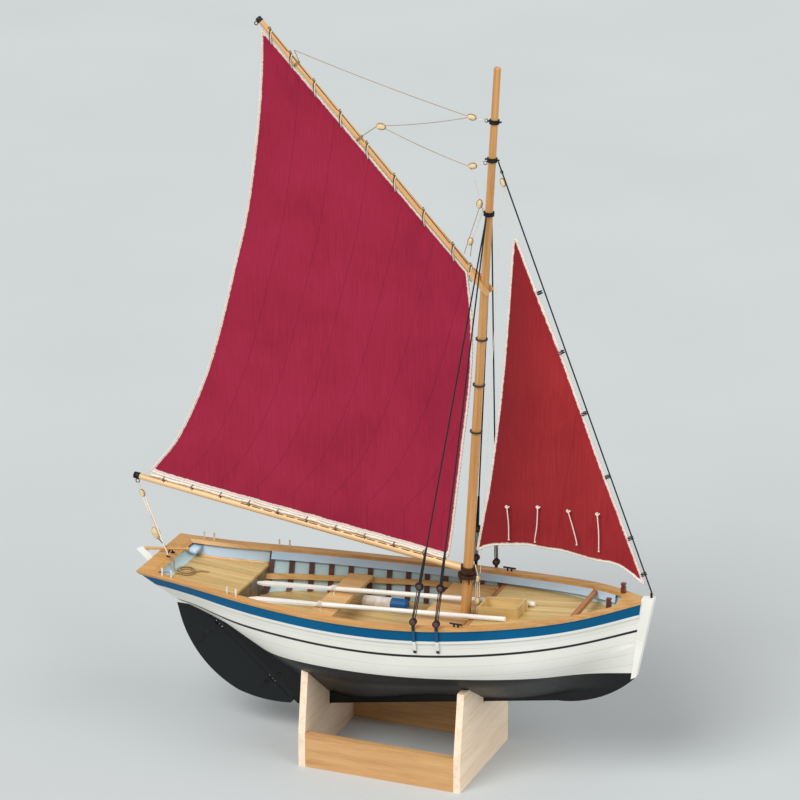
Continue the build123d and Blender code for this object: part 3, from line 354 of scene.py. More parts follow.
metals = {
    "black": material("blackened_brass", ironwork, {"tones": "#131214 #2E2D2E", "rough": 0.45, "metal": 0.6}),
    "brown": material("bronzed_brass", ironwork, {"tones": "#2C1D15 #5E402B", "rough": 0.5, "metal": 0.5}),
    "bright": material("polished_brass_pins", ironwork,
                       {"tones": "#D8D0BA #FFFBEE", "rough": 0.3, "metal": 0.35}),
}
woods["block"] = material("turned_boxwood", wood, {**honey, "tones": "#C9AC78 #E3CB9B #F0DDB4", "grain": 0.5,
                                                   "length": 6})
woods["deadeye"] = material("stained_walnut", wood, {**honey, "tones": "#140E0E #261A17 #3A2A24", "grain": 0.5,
                                                     "length": 5})


# The float: white with its fore end dipped in blue
def floatPaint(add, place):
    x = add("SeparateXYZ", (place,), out="X")
    dipped = add("MapRange", (x, -0.0125, -0.0120, 0.0, 1.0))
    grime = add("TexNoise", {"Vector": place, "Scale": 150.0, "Detail": 4.0})
    colour = add("ValToRGB", (grime,), stops=[(0.3, "#C9BDA8"), (0.6, "#EEEAE0")])
    colour = add("MixRGB", (dipped, colour, linear("#115C9B")))
    relief = add("Bump", {"Height": grime, "Strength": 0.25, "Distance": 0.0002})
    return {"Base Color": colour, "Roughness": 0.5, "Normal": relief}


paints["float"] = material("dipped_float_paint", floatPaint)

# The CAD nodes that take each finish
finishes = [
    (woods, {
        "deck": "aft_deck foredeck sole hatch_box mast_step", "rail": "cap_rail transom_cap tiller",
        "thwart": "thwart mast_thwart riser", "beam": "foredeck_beam bow_bar", "frames": "frames", "bitts": "bitts",
        "bulkhead": "bulkhead", "mast": "mast", "boom": "boom", "gaff": "gaff gaff_jaws",
        "plate": "cradle_plate_aft cradle_plate_fore", "rails": "cradle_rail_port cradle_rail_starboard",
        "deadeye": "mast_hoops",
    }),
    (paints, {
        "hull": "topside_planking rubbing_strake", "transom": "transom_board", "stem": "stem",
        "blue": "sheer_strake", "pale": "clamp", "black": "bottom_planking keel deadwood forefoot",
        "rudder": "rudder_stock rudder_back sternpost", "irons": "chainplates_port chainplates_starboard",
        "oar": "oar_port oar_starboard", "float": "float",
    }),
    (metals, {
        "brown": "spider_band boom_collar", "black": "mast_bands stem_eye cleats gudgeons rudder_straps",
        "bright": "thole_pins",
    }),
    (cords, {"black": "forestay shrouds_port shrouds_starboard"}),
]
for group, wearers in finishes:
    for finish, names in wearers.items():
        for name in names.split():
            for slot in nodes[name].material_slots:
                slot.material = group[finish]
print("materials on the packed nodes")


# Side-view points in millimetres as points in metres on the plane at y
def sideView(points, y=0.0):
    points = np.asarray(points, float)
    return np.stack([points[:, 0], np.full(len(points), float(y)), points[:, 1]], 1) * mm


# A line cut again into equal steps
def evenly(line, step, count=None):
    line = np.asarray(line, float)
    run = np.concatenate([[0], np.cumsum(np.linalg.norm(np.diff(line, axis=0), axis=1))])
    count = count or max(int(round(run[-1] / step)), 2) + 1
    stops = np.linspace(0, run[-1], count)
    return np.stack([np.interp(stops, run, line[:, i]) for i in range(3)], 1)


# A smooth line through points: between each two, a cubic whose slope at a point is half the
# chord between that point's neighbours
def smooth(points, step=0.001, count=None):
    points = np.asarray(points, float)
    ends = np.vstack([2 * points[0] - points[1], points, 2 * points[-1] - points[-2]])
    a, b, c, d = (ends[i:len(ends) - 3 + i] for i in range(4))
    t = np.linspace(0, 1, 24, endpoint=False)[:, None, None]
    line = 0.5 * (2 * b + (c - a) * t + (2 * a - 5 * b + 4 * c - d) * t**2 + (3 * b - a - 3 * c + d) * t**3)
    return evenly(np.vstack([line.transpose(1, 0, 2).reshape(-1, 3), points[-1:]]), step, count)


# At each point of a line, two directions square to it
def squareTo(line, loop=False):
    if loop:
        run = np.roll(line, -1, 0) - np.roll(line, 1, 0)
    else:
        run = np.gradient(line, axis=0)
    run /= np.linalg.norm(run, axis=1, keepdims=True)
    spare = np.eye(3)[np.argmin(np.abs(run).max(0))]
    first = np.cross(run, spare)
    first /= np.linalg.norm(first, axis=1, keepdims=True)
    return first, np.cross(run, first)


# Rings of points round a line, at the angles and the reaches given
def ringsAlong(line, angle, reach, loop=False):
    first, second = squareTo(line, loop)
    ring = np.cos(angle)[..., None] * first[:, None] + np.sin(angle)[..., None] * second[:, None]
    return {"points": line[:, None] + reach[..., None] * ring, "loop": loop}


# A laid rope: rings of six points, every second one drawn in, turned a little from ring to ring.
# Radii are in millimetres here and below
def rope(line, radius, loop=False):
    line = evenly(line, 1.1 * (radius * mm))
    if loop:
        line = line[:-1]
    turn = np.arange(len(line)) * (pi / 5 if not loop else 2 * pi * round(len(line) / 10) / len(line))
    angle = turn[:, None] + np.arange(6)[None] * pi / 3
    return ringsAlong(line, angle, radius * mm * np.where(np.arange(6) % 2, 0.78, 1.0)[None], loop)


# A smooth round bar along a line
def bar(line, radius, sides=10):
    reach = np.broadcast_to(np.asarray(radius, float) * mm, (len(line),))[:, None]
    return ringsAlong(line, np.arange(sides)[None] * 2 * pi / sides, reach)


# A direction, and two square to it and to each other
def axisFrame(axis):
    axis = Vector(axis).normalized()
    first = np.array(axis.orthogonal().normalized())
    return np.array(axis), first, np.cross(np.array(axis), first)


# A rope or wire bent to a ring round an axis
def hoop(middle, axis, radius, thick, count=32):
    first, second = axisFrame(axis)[1:]
    angle = np.linspace(0, 2 * pi, count + 1)[:, None]
    return rope(middle + radius * mm * (np.cos(angle) * first + np.sin(angle) * second), thick, loop=True)


# A turned form: each (along, radius) of the profile is a ring round the axis
def turned(middle, axis, profile, sides=24):
    profile = np.asarray(profile, float) * mm
    axis, first, second = axisFrame(axis)
    angle = np.arange(sides)[None, :, None] * 2 * pi / sides
    ring = np.cos(angle) * first + np.sin(angle) * second
    return {"points": (middle + profile[:, :1] * axis)[:, None] + profile[:, 1][:, None, None] * ring}


# A rounded lump: a ball whose cosines and sines are drawn towards a box by a power under one
def lump(middle, axes, halves, power=0.6, sides=16, rows=9):
    u = np.arange(sides)[None] * 2 * pi / sides
    v = np.linspace(-pi / 2 + 0.12, pi / 2 - 0.12, rows)[:, None]
    a = np.sign(np.cos(u)) * np.abs(np.cos(u)) ** power * np.cos(v) ** power
    b = np.sign(np.sin(u)) * np.abs(np.sin(u)) ** power * np.cos(v) ** power
    c = np.sign(np.sin(v)) * np.abs(np.sin(v)) ** power + 0 * u
    spot = sum(part[..., None] * np.asarray(axis) * half * mm for part, axis, half in zip((a, b, c), axes, halves))
    return {"points": np.asarray(middle, float) + spot}


# One mesh from grids of points whose rows close on themselves, with flat ends where rows don't loop
def piece(name, grids, finish, body=None):
    points, faces, base = [], [], 0
    for grid in grids:
        spots = grid["points"]
        rows, columns = spots.shape[:2]
        loop = grid.get("loop", False)
        i = np.arange(rows if loop else rows - 1)[:, None]
        j = np.arange(columns)[None]
        after, below = (j + 1) % columns, (i + 1) % rows
        quads = np.stack([i * columns + j, i * columns + after, below * columns + after, below * columns + j], -1)
        faces += (base + quads.reshape(-1, 4)).tolist()
        if not loop:
            end = base + np.arange(columns)
            faces += [end[::-1].tolist(), (end + (rows - 1) * columns).tolist()]
        points.append(spots.reshape(-1, 3))
        base += rows * columns
    mesh = bpy.data.meshes.new(name)
    mesh.from_pydata(np.vstack(points).tolist(), [], faces)
    return finished(name, mesh, finish, body)


# Normals outwards, smooth shading, material, and the body that it rides on
def finished(name, mesh, finish, body, closed=True):
    if closed:
        work = bmesh.new()
        work.from_mesh(mesh)
        bmesh.ops.recalc_face_normals(work, faces=work.faces)
        work.to_mesh(mesh)
        work.free()
    mesh.polygons.foreach_set("use_smooth", [True] * len(mesh.polygons))
    mesh.materials.append(finish)
    made = newObject(name, mesh)
    if body:
        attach(made, body)
    return made


# A sheet between four edges: the two ruled sheets added, less the one through the corners
def patch(foot, head, leech, luff):
    u = np.linspace(0, 1, len(foot))[None, :, None]
    v = np.linspace(0, 1, len(leech))[:, None, None]
    upwards = (1 - v) * foot[None] + v * head[None]
    crosswise = (1 - u) * leech[:, None] + u * luff[:, None]
    corners = (1 - u) * (1 - v) * foot[0] + u * (1 - v) * foot[-1] + (1 - u) * v * head[0] + u * v * head[-1]
    return upwards + crosswise - corners, u, v


# Distance in the side view from each point to a line of points
def sideDistance(points, line):
    a, b = line[:-1, [0, 2]], line[1:, [0, 2]]
    spots = points[:, None, [0, 2]]
    run = b - a
    share = np.clip(((spots - a) * run).sum(2) / np.maximum((run**2).sum(1), 1e-12), 0, 1)
    return np.sqrt((((a + share[..., None] * run) - spots) ** 2).sum(2).min(1))


# A sail: a patch that bellies to starboard, with small ripples along its foot. The attribute bare
# says how far a point lies inside the pale tape sewn along each edge
def sail(name, edges, look, finish):
    columns, rows = look["grid"]
    foot, head = (smooth(sideView(edges[k]), count=columns) for k in ("foot", "head"))
    leech, luff = (smooth(sideView(edges[k]), count=rows) for k in ("leech", "luff"))
    cloth, u, v = patch(foot, head, leech, luff)
    fill = (np.sin(pi * u) * np.sin(pi * v ** look["low"]))[..., 0]
    cloth[..., 1] -= look["belly"] * mm * fill ** 0.9
    span = np.linalg.norm(foot[-1] - foot[0])
    scallop = np.sin(2 * pi * u * span / (look["scallop"] * mm)) * np.exp(-v * look["calm"])
    cloth[..., 1] += (look["ripple"] * mm * scallop * np.sin(pi * u))[..., 0]
    border = np.vstack([cloth[0], cloth[1:, -1], cloth[-1, -2::-1], cloth[-2::-1, 0]])
    spots = cloth.reshape(-1, 3)
    i, j = np.meshgrid(np.arange(rows - 1), np.arange(columns - 1), indexing="ij")
    corner = (i * columns + j).ravel()
    faces = np.stack([corner, corner + 1, corner + columns + 1, corner + columns], -1)
    mesh = bpy.data.meshes.new(name)
    mesh.from_pydata(spots.tolist(), [], faces.tolist())
    taped = zip((foot, head, leech, luff), (look["tape"][k] for k in ("foot", "head", "leech", "luff")))
    bare = np.min([sideDistance(spots, edge) - wide * mm for edge, wide in taped], axis=0)
    values = {"bare": bare, "fromEdge": sideDistance(spots, border),
              "fromLeech": spots[:, 0] - np.interp(spots[:, 2], leech[:, 2], leech[:, 0])}
    for label, value in values.items():
        mesh.attributes.new(label, "FLOAT", "POINT").data.foreach_set("value", value.astype(np.float32))
    made = finished(name, mesh, finish, look["body"], closed=False)
    thick = made.modifiers.new("thickness", "SOLIDIFY")
    thick.thickness = look["thick"] * mm
    thick.offset = 0.0
    across = cloth[1:] - cloth[:-1]
    along = cloth[:, 1:] - cloth[:, :-1]
    area = float(np.linalg.norm(np.cross(across[:, :-1], along[:-1]), axis=2).sum())
    return made, border, area


# The spars' axes from their free ends: a direction along each and one square to it in the side view
spars = {
    "boom": {"tip": (-209.7, 196.5), "root": (64.8, 160.4), "thin": 2.3, "thick": 2.9},
    "gaff": {"tip": (-101.5, 570.0), "root": (76.3, 386.0), "thin": 2.0, "thick": 2.6},
}
for spar in spars.values():
    spar["tip"], spar["root"] = (np.array([x, 0.0, z]) * mm for x, z in (spar["tip"], spar["root"]))
    spar["long"] = np.linalg.norm(spar["root"] - spar["tip"])
    spar["way"] = (spar["root"] - spar["tip"]) / spar["long"]
    spar["up"] = np.array([-spar["way"][2], 0.0, spar["way"][0]])


# Places by a spar: along it from its free end, clear of its wood by out, round it by the angle
# turn from the top towards port, and leaned along the spar by lean for each millimetre of height
def bySpar(name, along, out=0.0, turn=0.0, lean=0.0, drop=0.0):
    spar = spars[name]
    along, out, turn = np.broadcast_arrays(np.asarray(along, float), out, turn)
    radius = spar["thin"] + (spar["thick"] - spar["thin"]) * along * mm / spar["long"] + out
    high = radius * np.cos(turn) - drop * (np.cos(turn) < 0) * -np.cos(turn)
    side = radius * np.sin(turn)
    reach = (along + lean * high)[..., None] * spar["way"] + high[..., None] * spar["up"]
    return spar["tip"] + mm * (reach + side[..., None] * np.array([0.0, 1.0, 0.0]))


mainEdges = {
    "foot": [(-196.5, 202.4), (-188, 200), (-172, 197.5), (-155, 195.2), (-113, 189.7), (-72, 184.4),
             (-31, 179), (10, 173.7), (48.4, 168.4)],
    "head": [(-98.6, 561.4), (-76, 538.2), (-36.5, 497.4), (3, 456.6), (42, 416.2), (62.4, 395)],
    "leech": [(-196.5, 202.4), (-188.3, 211.8), (-171.8, 234.7), (-151.7, 278.1), (-137.7, 320.2), (-124.5, 371.5),
              (-112.4, 422.1), (-103.7, 481.1), (-99.8, 525), (-98.6, 561.4)],
    "luff": [(48.4, 168.4), (50.9, 183), (59.3, 255.6), (65.6, 312.3), (66.3, 356), (62.4, 395)],
}
jibEdges = {
    "foot": [(71.8, 177.2), (82, 182.4), (94, 185.2), (109.8, 187.4), (124, 187.2), (137.4, 187.4), (151, 185.2),
             (164, 184), (179, 183), (190, 179), (203.6, 169.8)],
    "head": [(98.1, 424), (99.2, 424.6), (100.4, 425.2)],
    "leech": [(71.8, 177.2), (76.6, 205), (81.7, 234.9), (88.9, 295), (93.9, 354.5), (97.2, 408.8),
              (98.1, 424)],
    "luff": [(203.6, 169.8), (188.4, 208), (169, 256), (152.2, 299.5), (135.4, 342.5), (116.6, 386),
             (100.4, 425.2)],
}
mainLook = {"grid": (120, 150), "belly": 2.6, "low": 0.8, "ripple": 0.5, "scallop": 26.0, "calm": 14.0, "thick": 0.35,
            "body": "main_rig", "tape": {"foot": 2.7, "head": 0.9, "leech": 1.2, "luff": 1.0}}
jibLook = {"grid": (90, 130), "belly": 5.0, "low": 0.7, "ripple": 0.8, "scallop": 34.0, "calm": 8.0, "thick": 0.35,
           "body": "jib", "tape": {"foot": 1.3, "head": 1.0, "leech": 1.1, "luff": 1.0}}
mainSail, mainBorder, mainArea = sail("mainsail_cloth", mainEdges, mainLook, cloths["main"])
jibSail, jibBorder, jibArea = sail("jib_cloth", jibEdges, jibLook, cloths["jib"])
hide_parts("mainsail")
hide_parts("jib")

# Bolt ropes along the sails' edges, and the thick foot rope that lies on the boom
along = np.linspace(13.0, 258.0, 120)
footLine = bySpar("boom", along, 1.5 + 0.22 * np.sin(along / 2.9) + 0.15 * np.sin(along / 7.1))
boltRopes = {
    "main_rig": piece("mainsail_bolt_rope", [rope(mainBorder, 0.9, loop=True), rope(footLine, 1.45)],
                      cords["cream"], "main_rig"),
    "jib": piece("jib_bolt_rope", [rope(jibBorder, 0.8, loop=True)], cords["cream"], "jib"),
}
print("sails", round(mainArea, 4), round(jibArea, 4))


# The mast's axis at a height, and a point beside it
def mastAxis(z, ahead=0.0, aside=0.0):
    x = mastLine["foot"][0] + (z - mastLine["foot"][1]) * tan(radians(mastLine["rake"]))
    return np.array([x + ahead, aside, z]) * mm


# A pulley block hung along a direction: two cheeks, a sheave between them and a strop round both
def block(middle, hang, size=1.0):
    hang = np.array(Vector(hang).normalized())
    wide = np.array([0.0, 1.0, 0.0])
    deep = np.cross(hang, wide)
    middle = np.asarray(middle, float)
    halves = (1.45 * size, 2.8 * size, 0.75 * size)
    cheeks = [lump(middle + side * size * mm * wide, (deep, hang, wide), halves, 0.8) for side in (1, -1)]
    groove = [(0, 1.5 * size), (0.5 * size, 1.1 * size), (0.9 * size, 1.1 * size), (1.4 * size, 1.5 * size)]
    sheave = turned(middle - 0.7 * size * mm * wide, wide, groove, 16)
    angle = np.linspace(0, 2 * pi, 25)[:, None]
    strop = middle + size * mm * (2.1 * np.cos(angle) * deep + 3.1 * np.sin(angle) * hang)
    return cheeks + [sheave], rope(strop, 0.3, loop=True)


# A straight rope, with a small sag for slack lines
def line(start, end, radius=0.3, sag=0.0):
    share = np.linspace(0, 1, 13)[:, None]
    path = (1 - share) * np.asarray(start, float) + share * np.asarray(end, float)
    path[:, 2] -= sag * mm * 4 * share[:, 0] * (1 - share[:, 0])
    return rope(path, radius)


# A place on the model given in millimetres
def at(x, z, y=0.0):
    return np.array([x, y, z]) * mm


# Running rigging. Blocks: place, the way it hangs, body, size
blocks = {
    "peak": (at(65.5, 513.2), (1, 0, -0.12), "hull", 1.1),
    "gaff_middle": (at(-5, 498.4), (1, 0, -0.05), "main_rig", 1.2),
    "stay": (at(66.2, 476.6), (1, 0, 0.25), "hull", 1.1),
    "throat_upper": (at(72.4, 449, -1.5), (0.2, 0, 1), "hull", 1.1),
    "throat_lower": (at(66.2, 420.3, -3.5), (0.3, 0, 1), "hull", 1),
    "jib_halyard": (at(89.7, 466.8), (-0.4, 0, 1), "hull", 1),
    "sheet_upper": (at(-203.9, 182.4), (-0.42, 0, 1), "main_rig", 1),
    "sheet_lower": (at(-192.9, 150.8), (-0.35, 0, 1), "hull", 1.6),
    "fore_upper": (at(72.4, 154), (0, 0, 1), "hull", 1),
    "fore_lower": (at(72.6, 136), (0, 0, 1), "hull", 1),
}
for body in ("hull", "main_rig"):
    wooden, corded = [], []
    for middle, hang, rides, size in blocks.values():
        if rides == body:
            cheeks, strop = block(middle, hang, size)
            wooden += cheeks
            corded.append(strop)
    piece(f"blocks_{body}", wooden, woods["block"], body)
    piece(f"block_strops_{body}", corded, cords["tan"], body)

# Halyards that stay with the mast, and the tackle ahead of it: start, end and radius of each
mastHalyards = [
    (at(64.8, 476), mastAxis(441, -4.4, 1.2), 0.3),
    (at(75.3, 446), at(68.2, 423, -3), 0.28),
    (at(74.4, 446, -2), at(66.9, 423, -4.4), 0.28),
    (at(72.4, 151.5), at(72.6, 138.6), 0.35),
    (at(73.6, 151.5, 0.6), at(73.8, 138.6, 0.6), 0.35),
    (at(71.2, 151.5, -0.6), at(71.4, 138.6, -0.6), 0.35),
    (at(72.6, 133.2), at(71.4, 125.2), 0.4),
    (at(72.4, 156.8), at(70.4, 165), 0.4),
    (at(89.4, 463.9), mastAxis(157.8, 9.4, 1.2), 0.28),
    (at(90.9, 469.6), mastAxis(482, 4.6), 0.3),
    (at(71, 511.9), mastAxis(511.7, -4.4), 0.35),
    (at(69.3, 477.6), mastAxis(480.5, -4.4), 0.35),
]
piece("mast_halyards_cream", [line(*halyard) for halyard in mastHalyards], cords["cream"], "hull")

# The falls that lie against the mast are carried round it by the gaff's jaws
mastFalls = [line(mastAxis(441, 0, 4.15), mastAxis(161, 0, 6.2)),
             line(mastAxis(441, -1.2, 3.95), mastAxis(161, -1.8, 5.95))]
piece("halyard_falls", mastFalls, cords["brown"], "main_rig")

# Lines between the mast and the gaff: their two ends, radius and sag
across = {
    "peak_halyard_outer": ((62.7, 513.5), (-73, 548.8), 0.27, 1.2),
    "peak_halyard_upper": ((62.7, 512.6), (-2.2, 499.3), 0.27, 1.2),
    "peak_halyard_lower": ((63.4, 476), (-2.2, 497.4), 0.27, 1.2),
    "throat_halyard": ((66.2, 417.6), (64.8, 407.5), 0.3, 0),
    "jaw_parrel_line": ((71.8, 446), (60, 409), 0.27, 0),
}
for name, (start, end, radius, sag) in across.items():
    start, end = at(*start), at(*end)
    made = piece(name, [line(start, end, radius, sag)], cords["tan"])
    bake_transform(made)
jibHead = piece("jib_halyard", [line(at(98.9, 427), at(90.4, 463.9), 0.28)], cords["cream"])
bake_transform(jibHead)
sheetFalls = {"radius": 0.65, "ends": [((-205.2, 180, 0.8), (-194.6, 155.4, 1.4)),
                                       ((-203.4, 180, -0.8), (-192.8, 155.4, -1.4)),
                                       ((-202.4, 180.4, 0.4), (-180.5, 136.1, -5.6))]}
sheetLines = [line(at(*upper), at(*lower), sheetFalls["radius"]) for upper, lower in sheetFalls["ends"]]
mainSheet = piece("mainsheet_falls", sheetLines, cords["cream"])
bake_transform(mainSheet)
piece("mainsheet_strop", [line(at(-205, 185.2), at(-207.3, 190.6), 0.6)], cords["cream"], "main_rig")
print("running rigging")

# Ironwork: rings that carry the blocks, the sheet's horse on the transom and the spars' end bands
blockRings = {"wire": 0.3, "places": [((76.6, 511.8), 1.3), ((76, 480), 1.4), ((88.6, 474.6), 1.1)]}
rings = [hoop(at(*spot), (0, 1, 0), radius, blockRings["wire"]) for spot, radius in blockRings["places"]]
rings.append(line(at(-191.4, 146.4), at(-181.8, 137.8), 0.4))
piece("rigging_rings", rings, metals["black"], "hull")
horse = {"half": [(-181, 133.4, 4.2), (-181.2, 136, 4.2), (-181.5, 137.5, 3)], "crown": (-181.6, 137.8, 0),
         "radius": 0.5, "foot": (-181, 134.3, 4.2), "flange": [(0, 1.6), (0.6, 1.6), (0.9, 0.9)]}
farHalf = [(x, z, -y) for x, z, y in horse["half"][::-1]]
bend = smooth([at(*spot) for spot in [*horse["half"], horse["crown"], *farHalf]])
x, z, y = horse["foot"]
feet = [turned(at(x, z, side * y), (0, 0, 1), horse["flange"], 16) for side in (1, -1)]
piece("sheet_horse", [bar(bend, horse["radius"])] + feet, metals["black"], "hull")
endIrons = {
    "boom": {"band": [(-0.8, 1.9), (-0.5, 2.6), (3.8, 2.75), (4.2, 2.5)], "ring": (-207.6, 192), "radius": 1.5},
    "gaff": {"band": [(-0.6, 1.6), (-0.3, 2.25), (3, 2.35), (3.3, 2.1)], "ring": (-103, 566), "radius": 1.3},
}
irons = [turned(spars[name]["tip"], spars[name]["way"], iron["band"]) for name, iron in endIrons.items()]
irons += [hoop(at(*iron["ring"]), (0, 1, 0), iron["radius"], 0.4) for iron in endIrons.values()]
piece("spar_end_irons", irons, metals["black"], "main_rig")

# The foot's lacing: pairs of eyes along the boom, short dark cord runs between rope and boom
# that stand in for the lacing's shadow there (painted shadow), and a turn over the foot rope from eye to eye
eyes = {"places": np.arange(25, 262, 24), "turn": 0.62, "out": 0.45, "radius": 0.75, "wire": 0.3}
wires = [hoop(bySpar("boom", place, eyes["out"], side * eyes["turn"]), (1, 0, -0.13), eyes["radius"], eyes["wire"], 16)
         for place in eyes["places"] for side in (1, -1)]
piece("boom_eyes", wires, metals["black"], "main_rig")
footShadowRuns = {"places": np.arange(90, 252, 9.5), "long": 6.6, "turn": 0.66, "radius": 0.36}
footTurns = {"slant": 1.4, "high": 3, "radius": 0.32}
runs = []
# Painted shadow: short dark cord runs along each side of the boom, standing in for the lacing's shadow
for place in footShadowRuns["places"]:
    reach = place + np.linspace(0, footShadowRuns["long"], 9)
    for turn in (footShadowRuns["turn"], -footShadowRuns["turn"]):
        runs.append(rope(bySpar("boom", reach, 0.3 + 0.12 * np.sin(reach), turn), footShadowRuns["radius"]))
for place in eyes["places"]:
    angle = np.linspace(-eyes["turn"], eyes["turn"], 15)
    high = 0.4 + footTurns["high"] * np.cos(angle * pi / (2 * eyes["turn"]))
    reach = place + footTurns["slant"] * angle / eyes["turn"]
    runs.append(rope(bySpar("boom", reach, high, angle), footTurns["radius"]))
piece("foot_lacing", runs, cords["brown"], "main_rig")

# The head's lacing: at each place an upright turn round the gaff and the head's rope, then a run
# along the top of the gaff to the next
lacing = {"places": (13, 36, 62.5, 92, 122, 153, 186, 219, 239), "pitch": 1.8, "lean": -1.03,
          "seizing": 1.3}
angle = np.linspace(0, 2 * pi, 41)


def headTurn(place, out, drop, radius):
    along = place + lacing["pitch"] * angle / (2 * pi)
    return rope(bySpar("gaff", along, out, angle, lean=lacing["lean"], drop=drop), radius)


turns = [headTurn(place, 0.5, 2.9, 0.36) for place in lacing["places"]]
seized = [headTurn(place + lacing["seizing"], 0.45, 2.8, 0.34) for place in lacing["places"]]
overs = [rope(bySpar("gaff", np.linspace(a - 3, b - 3.4, 30), 0.32, np.linspace(-0.5, -0.75, 30)), 0.34)
         for a, b in zip(lacing["places"][:-1], lacing["places"][1:])]
piece("head_lacing", turns + overs, cords["brown"], "main_rig")
piece("head_lacing_seizings", seized, cords["cream"], "main_rig")

# Strops of three turns on the gaff, each with the line to its halyard
gaffStrops = {"pitch": 0.6, "radius": 0.32, "places": {43.0: (-73, 548.8), 114.0: (-8.4, 498.2)}}
strops = [rope(bySpar("gaff", place + gaffStrops["pitch"] * k, 0.45, angle), gaffStrops["radius"])
          for place in gaffStrops["places"] for k in range(3)]
strops += [line(bySpar("gaff", place + gaffStrops["pitch"], 0.6), at(*lead), 0.35)
           for place, lead in gaffStrops["places"].items()]
piece("gaff_strops", strops, cords["tan"], "main_rig")
print("lacing")


# A mesh's corners as rows of x, y and z
def cornersOf(mesh):
    spots = np.empty(len(mesh.vertices) * 3)
    mesh.vertices.foreach_get("co", spots)
    return spots.reshape(-1, 3)


# The corners within reach of x and between two heights, and the middle of the box round them
def deadeye(corners, x, reach, low, high):
    near = corners[(np.abs(corners[:, 0] - x) < reach) & (corners[:, 2] > low) & (corners[:, 2] < high)]
    return near, (near.min(0) + near.max(0)) / 2


# Black service, wound thick, where each shroud comes to its upper deadeye, turned faces on the
# deadeyes and two lanyards between each pair. Each row of deadeyes is found in the shrouds' node by
# reach, low and high, and the mast end by top, all in metres
shrouds = {"feet": (46.4, 63.8), "top": 0.4395, "upper": (0.0055, 0.1652, 0.1710), "lower": (0.0065, 0.1380, 0.1445),
           "rake": 1, "ring": 3.05, "lanyards": (-0.8, 0.8), "lanyard": 0.35}
service = {"from": 0.006, "to": 0.105, "thick": 1.25, "taper": 0.45, "ridge": 0.10, "rings": 60}
share = np.linspace(service["from"], service["to"], service["rings"])[:, None]
wound = (service["thick"] - service["taper"] * np.linspace(0, 1, service["rings"]) ** 2
         + service["ridge"] * np.cos(np.linspace(0, service["rings"] * pi, service["rings"])))
for word in ("starboard", "port"):
    corners = cornersOf(nodes[f"shrouds_{word}"].data)
    top = corners[corners[:, 2] > shrouds["top"]].mean(0)
    served, faced, laced = [], [], []
    for x in shrouds["feet"]:
        near, upper = deadeye(corners, x * mm, *shrouds["upper"])
        served += [bar(upper + share * (top - upper), wound, 12), hoop(upper, (0, 1, 0), shrouds["ring"], 0.42)]
        lower = deadeye(corners, (x - shrouds["rake"]) * mm, *shrouds["lower"])[1]
        deep = (near[:, 1].max() - near[:, 1].min()) / mm
        face = [(0, 1.5), (0.2, 1.9), (deep + 0.2, 1.9), (deep + 0.4, 1.5)]
        faced += [turned(middle - at(0, 0, deep / 2 + 0.2), (0, 1, 0), face) for middle in (upper, lower)]
        laced += [line(upper + at(0, -2.4, y), lower + at(0, 2.4, y), shrouds["lanyard"]) for y in shrouds["lanyards"]]
    piece(f"shroud_service_{word}", served, cords["black"], "hull")
    piece(f"deadeye_faces_{word}", faced, woods["frames"], "hull")
    piece(f"shroud_lanyards_{word}", laced, cords["brown"], "hull")


# A place on the forestay at a height
stay = {"top": (81.2, 482), "foot": (209.3, 164.6)}


def onStay(z):
    share = (stay["top"][1] - z) / (stay["top"][1] - stay["foot"][1])
    return at(stay["top"][0] + share * (stay["foot"][0] - stay["top"][0]), z)


# The jib's hanks, two rings side by side at each, and its four reef points with both their tails
hanks = {"heights": (386.5, 343, 297.8, 250.9, 205, 178), "apart": 0.75, "abaft": 0.9, "radius": 2,
         "cord": 0.42}
stayWay = (stay["foot"][0] - stay["top"][0], 0, stay["foot"][1] - stay["top"][1])
apart = hanks["apart"] * mm * np.array(Vector(stayWay).normalized())
ringPairs = [hoop(onStay(z) + k * apart + at(-hanks["abaft"], 0), stayWay, hanks["radius"], hanks["cord"], 20)
             for z in hanks["heights"] for k in (-1, 1)]
piece("jib_hanks", ringPairs, cords["black"], "jib")
reefs = {"cord": 0.5, "knot": (0.55, 0.4), "clothX": (72, 140, 203), "clothOut": (3.8, 5.9, 2.6),
         "places": [((96.9, 217.4), (98.3, 191.2)), ((121.4, 221.1), (119.1, 192.8)),
                    ((145.2, 221.7), (151.9, 195.7)), ((167.5, 222.2), (168.9, 192.6))]}
points = []
for top, foot in reefs["places"]:
    out = np.interp(top[0], reefs["clothX"], reefs["clothOut"])
    a, b = at(*top, -out), at(*foot, -out * 0.8)
    middle = (a + b) / 2 + np.array([0.6, -0.5, 0]) * mm
    hanging = [a + at(0, 0, 0.9), a + at(0.1, 0.3, -0.7), middle, b + at(0, 2, -0.4), b]
    tucked = [a + at(1.7, 0.6, 0.2), a + at(0.4, -0.8, -0.9), a + at(-1.4, 0.4, -0.6), a + at(0.3, 1.2, -0.7)]
    points += [rope(smooth(tail), reefs["cord"]) for tail in (hanging, tucked)]
    points.append(hoop(b + at(0, -0.3), (0, 0, 1), *reefs["knot"], 12))
piece("jib_reef_points", points, cords["cream"], "jib")

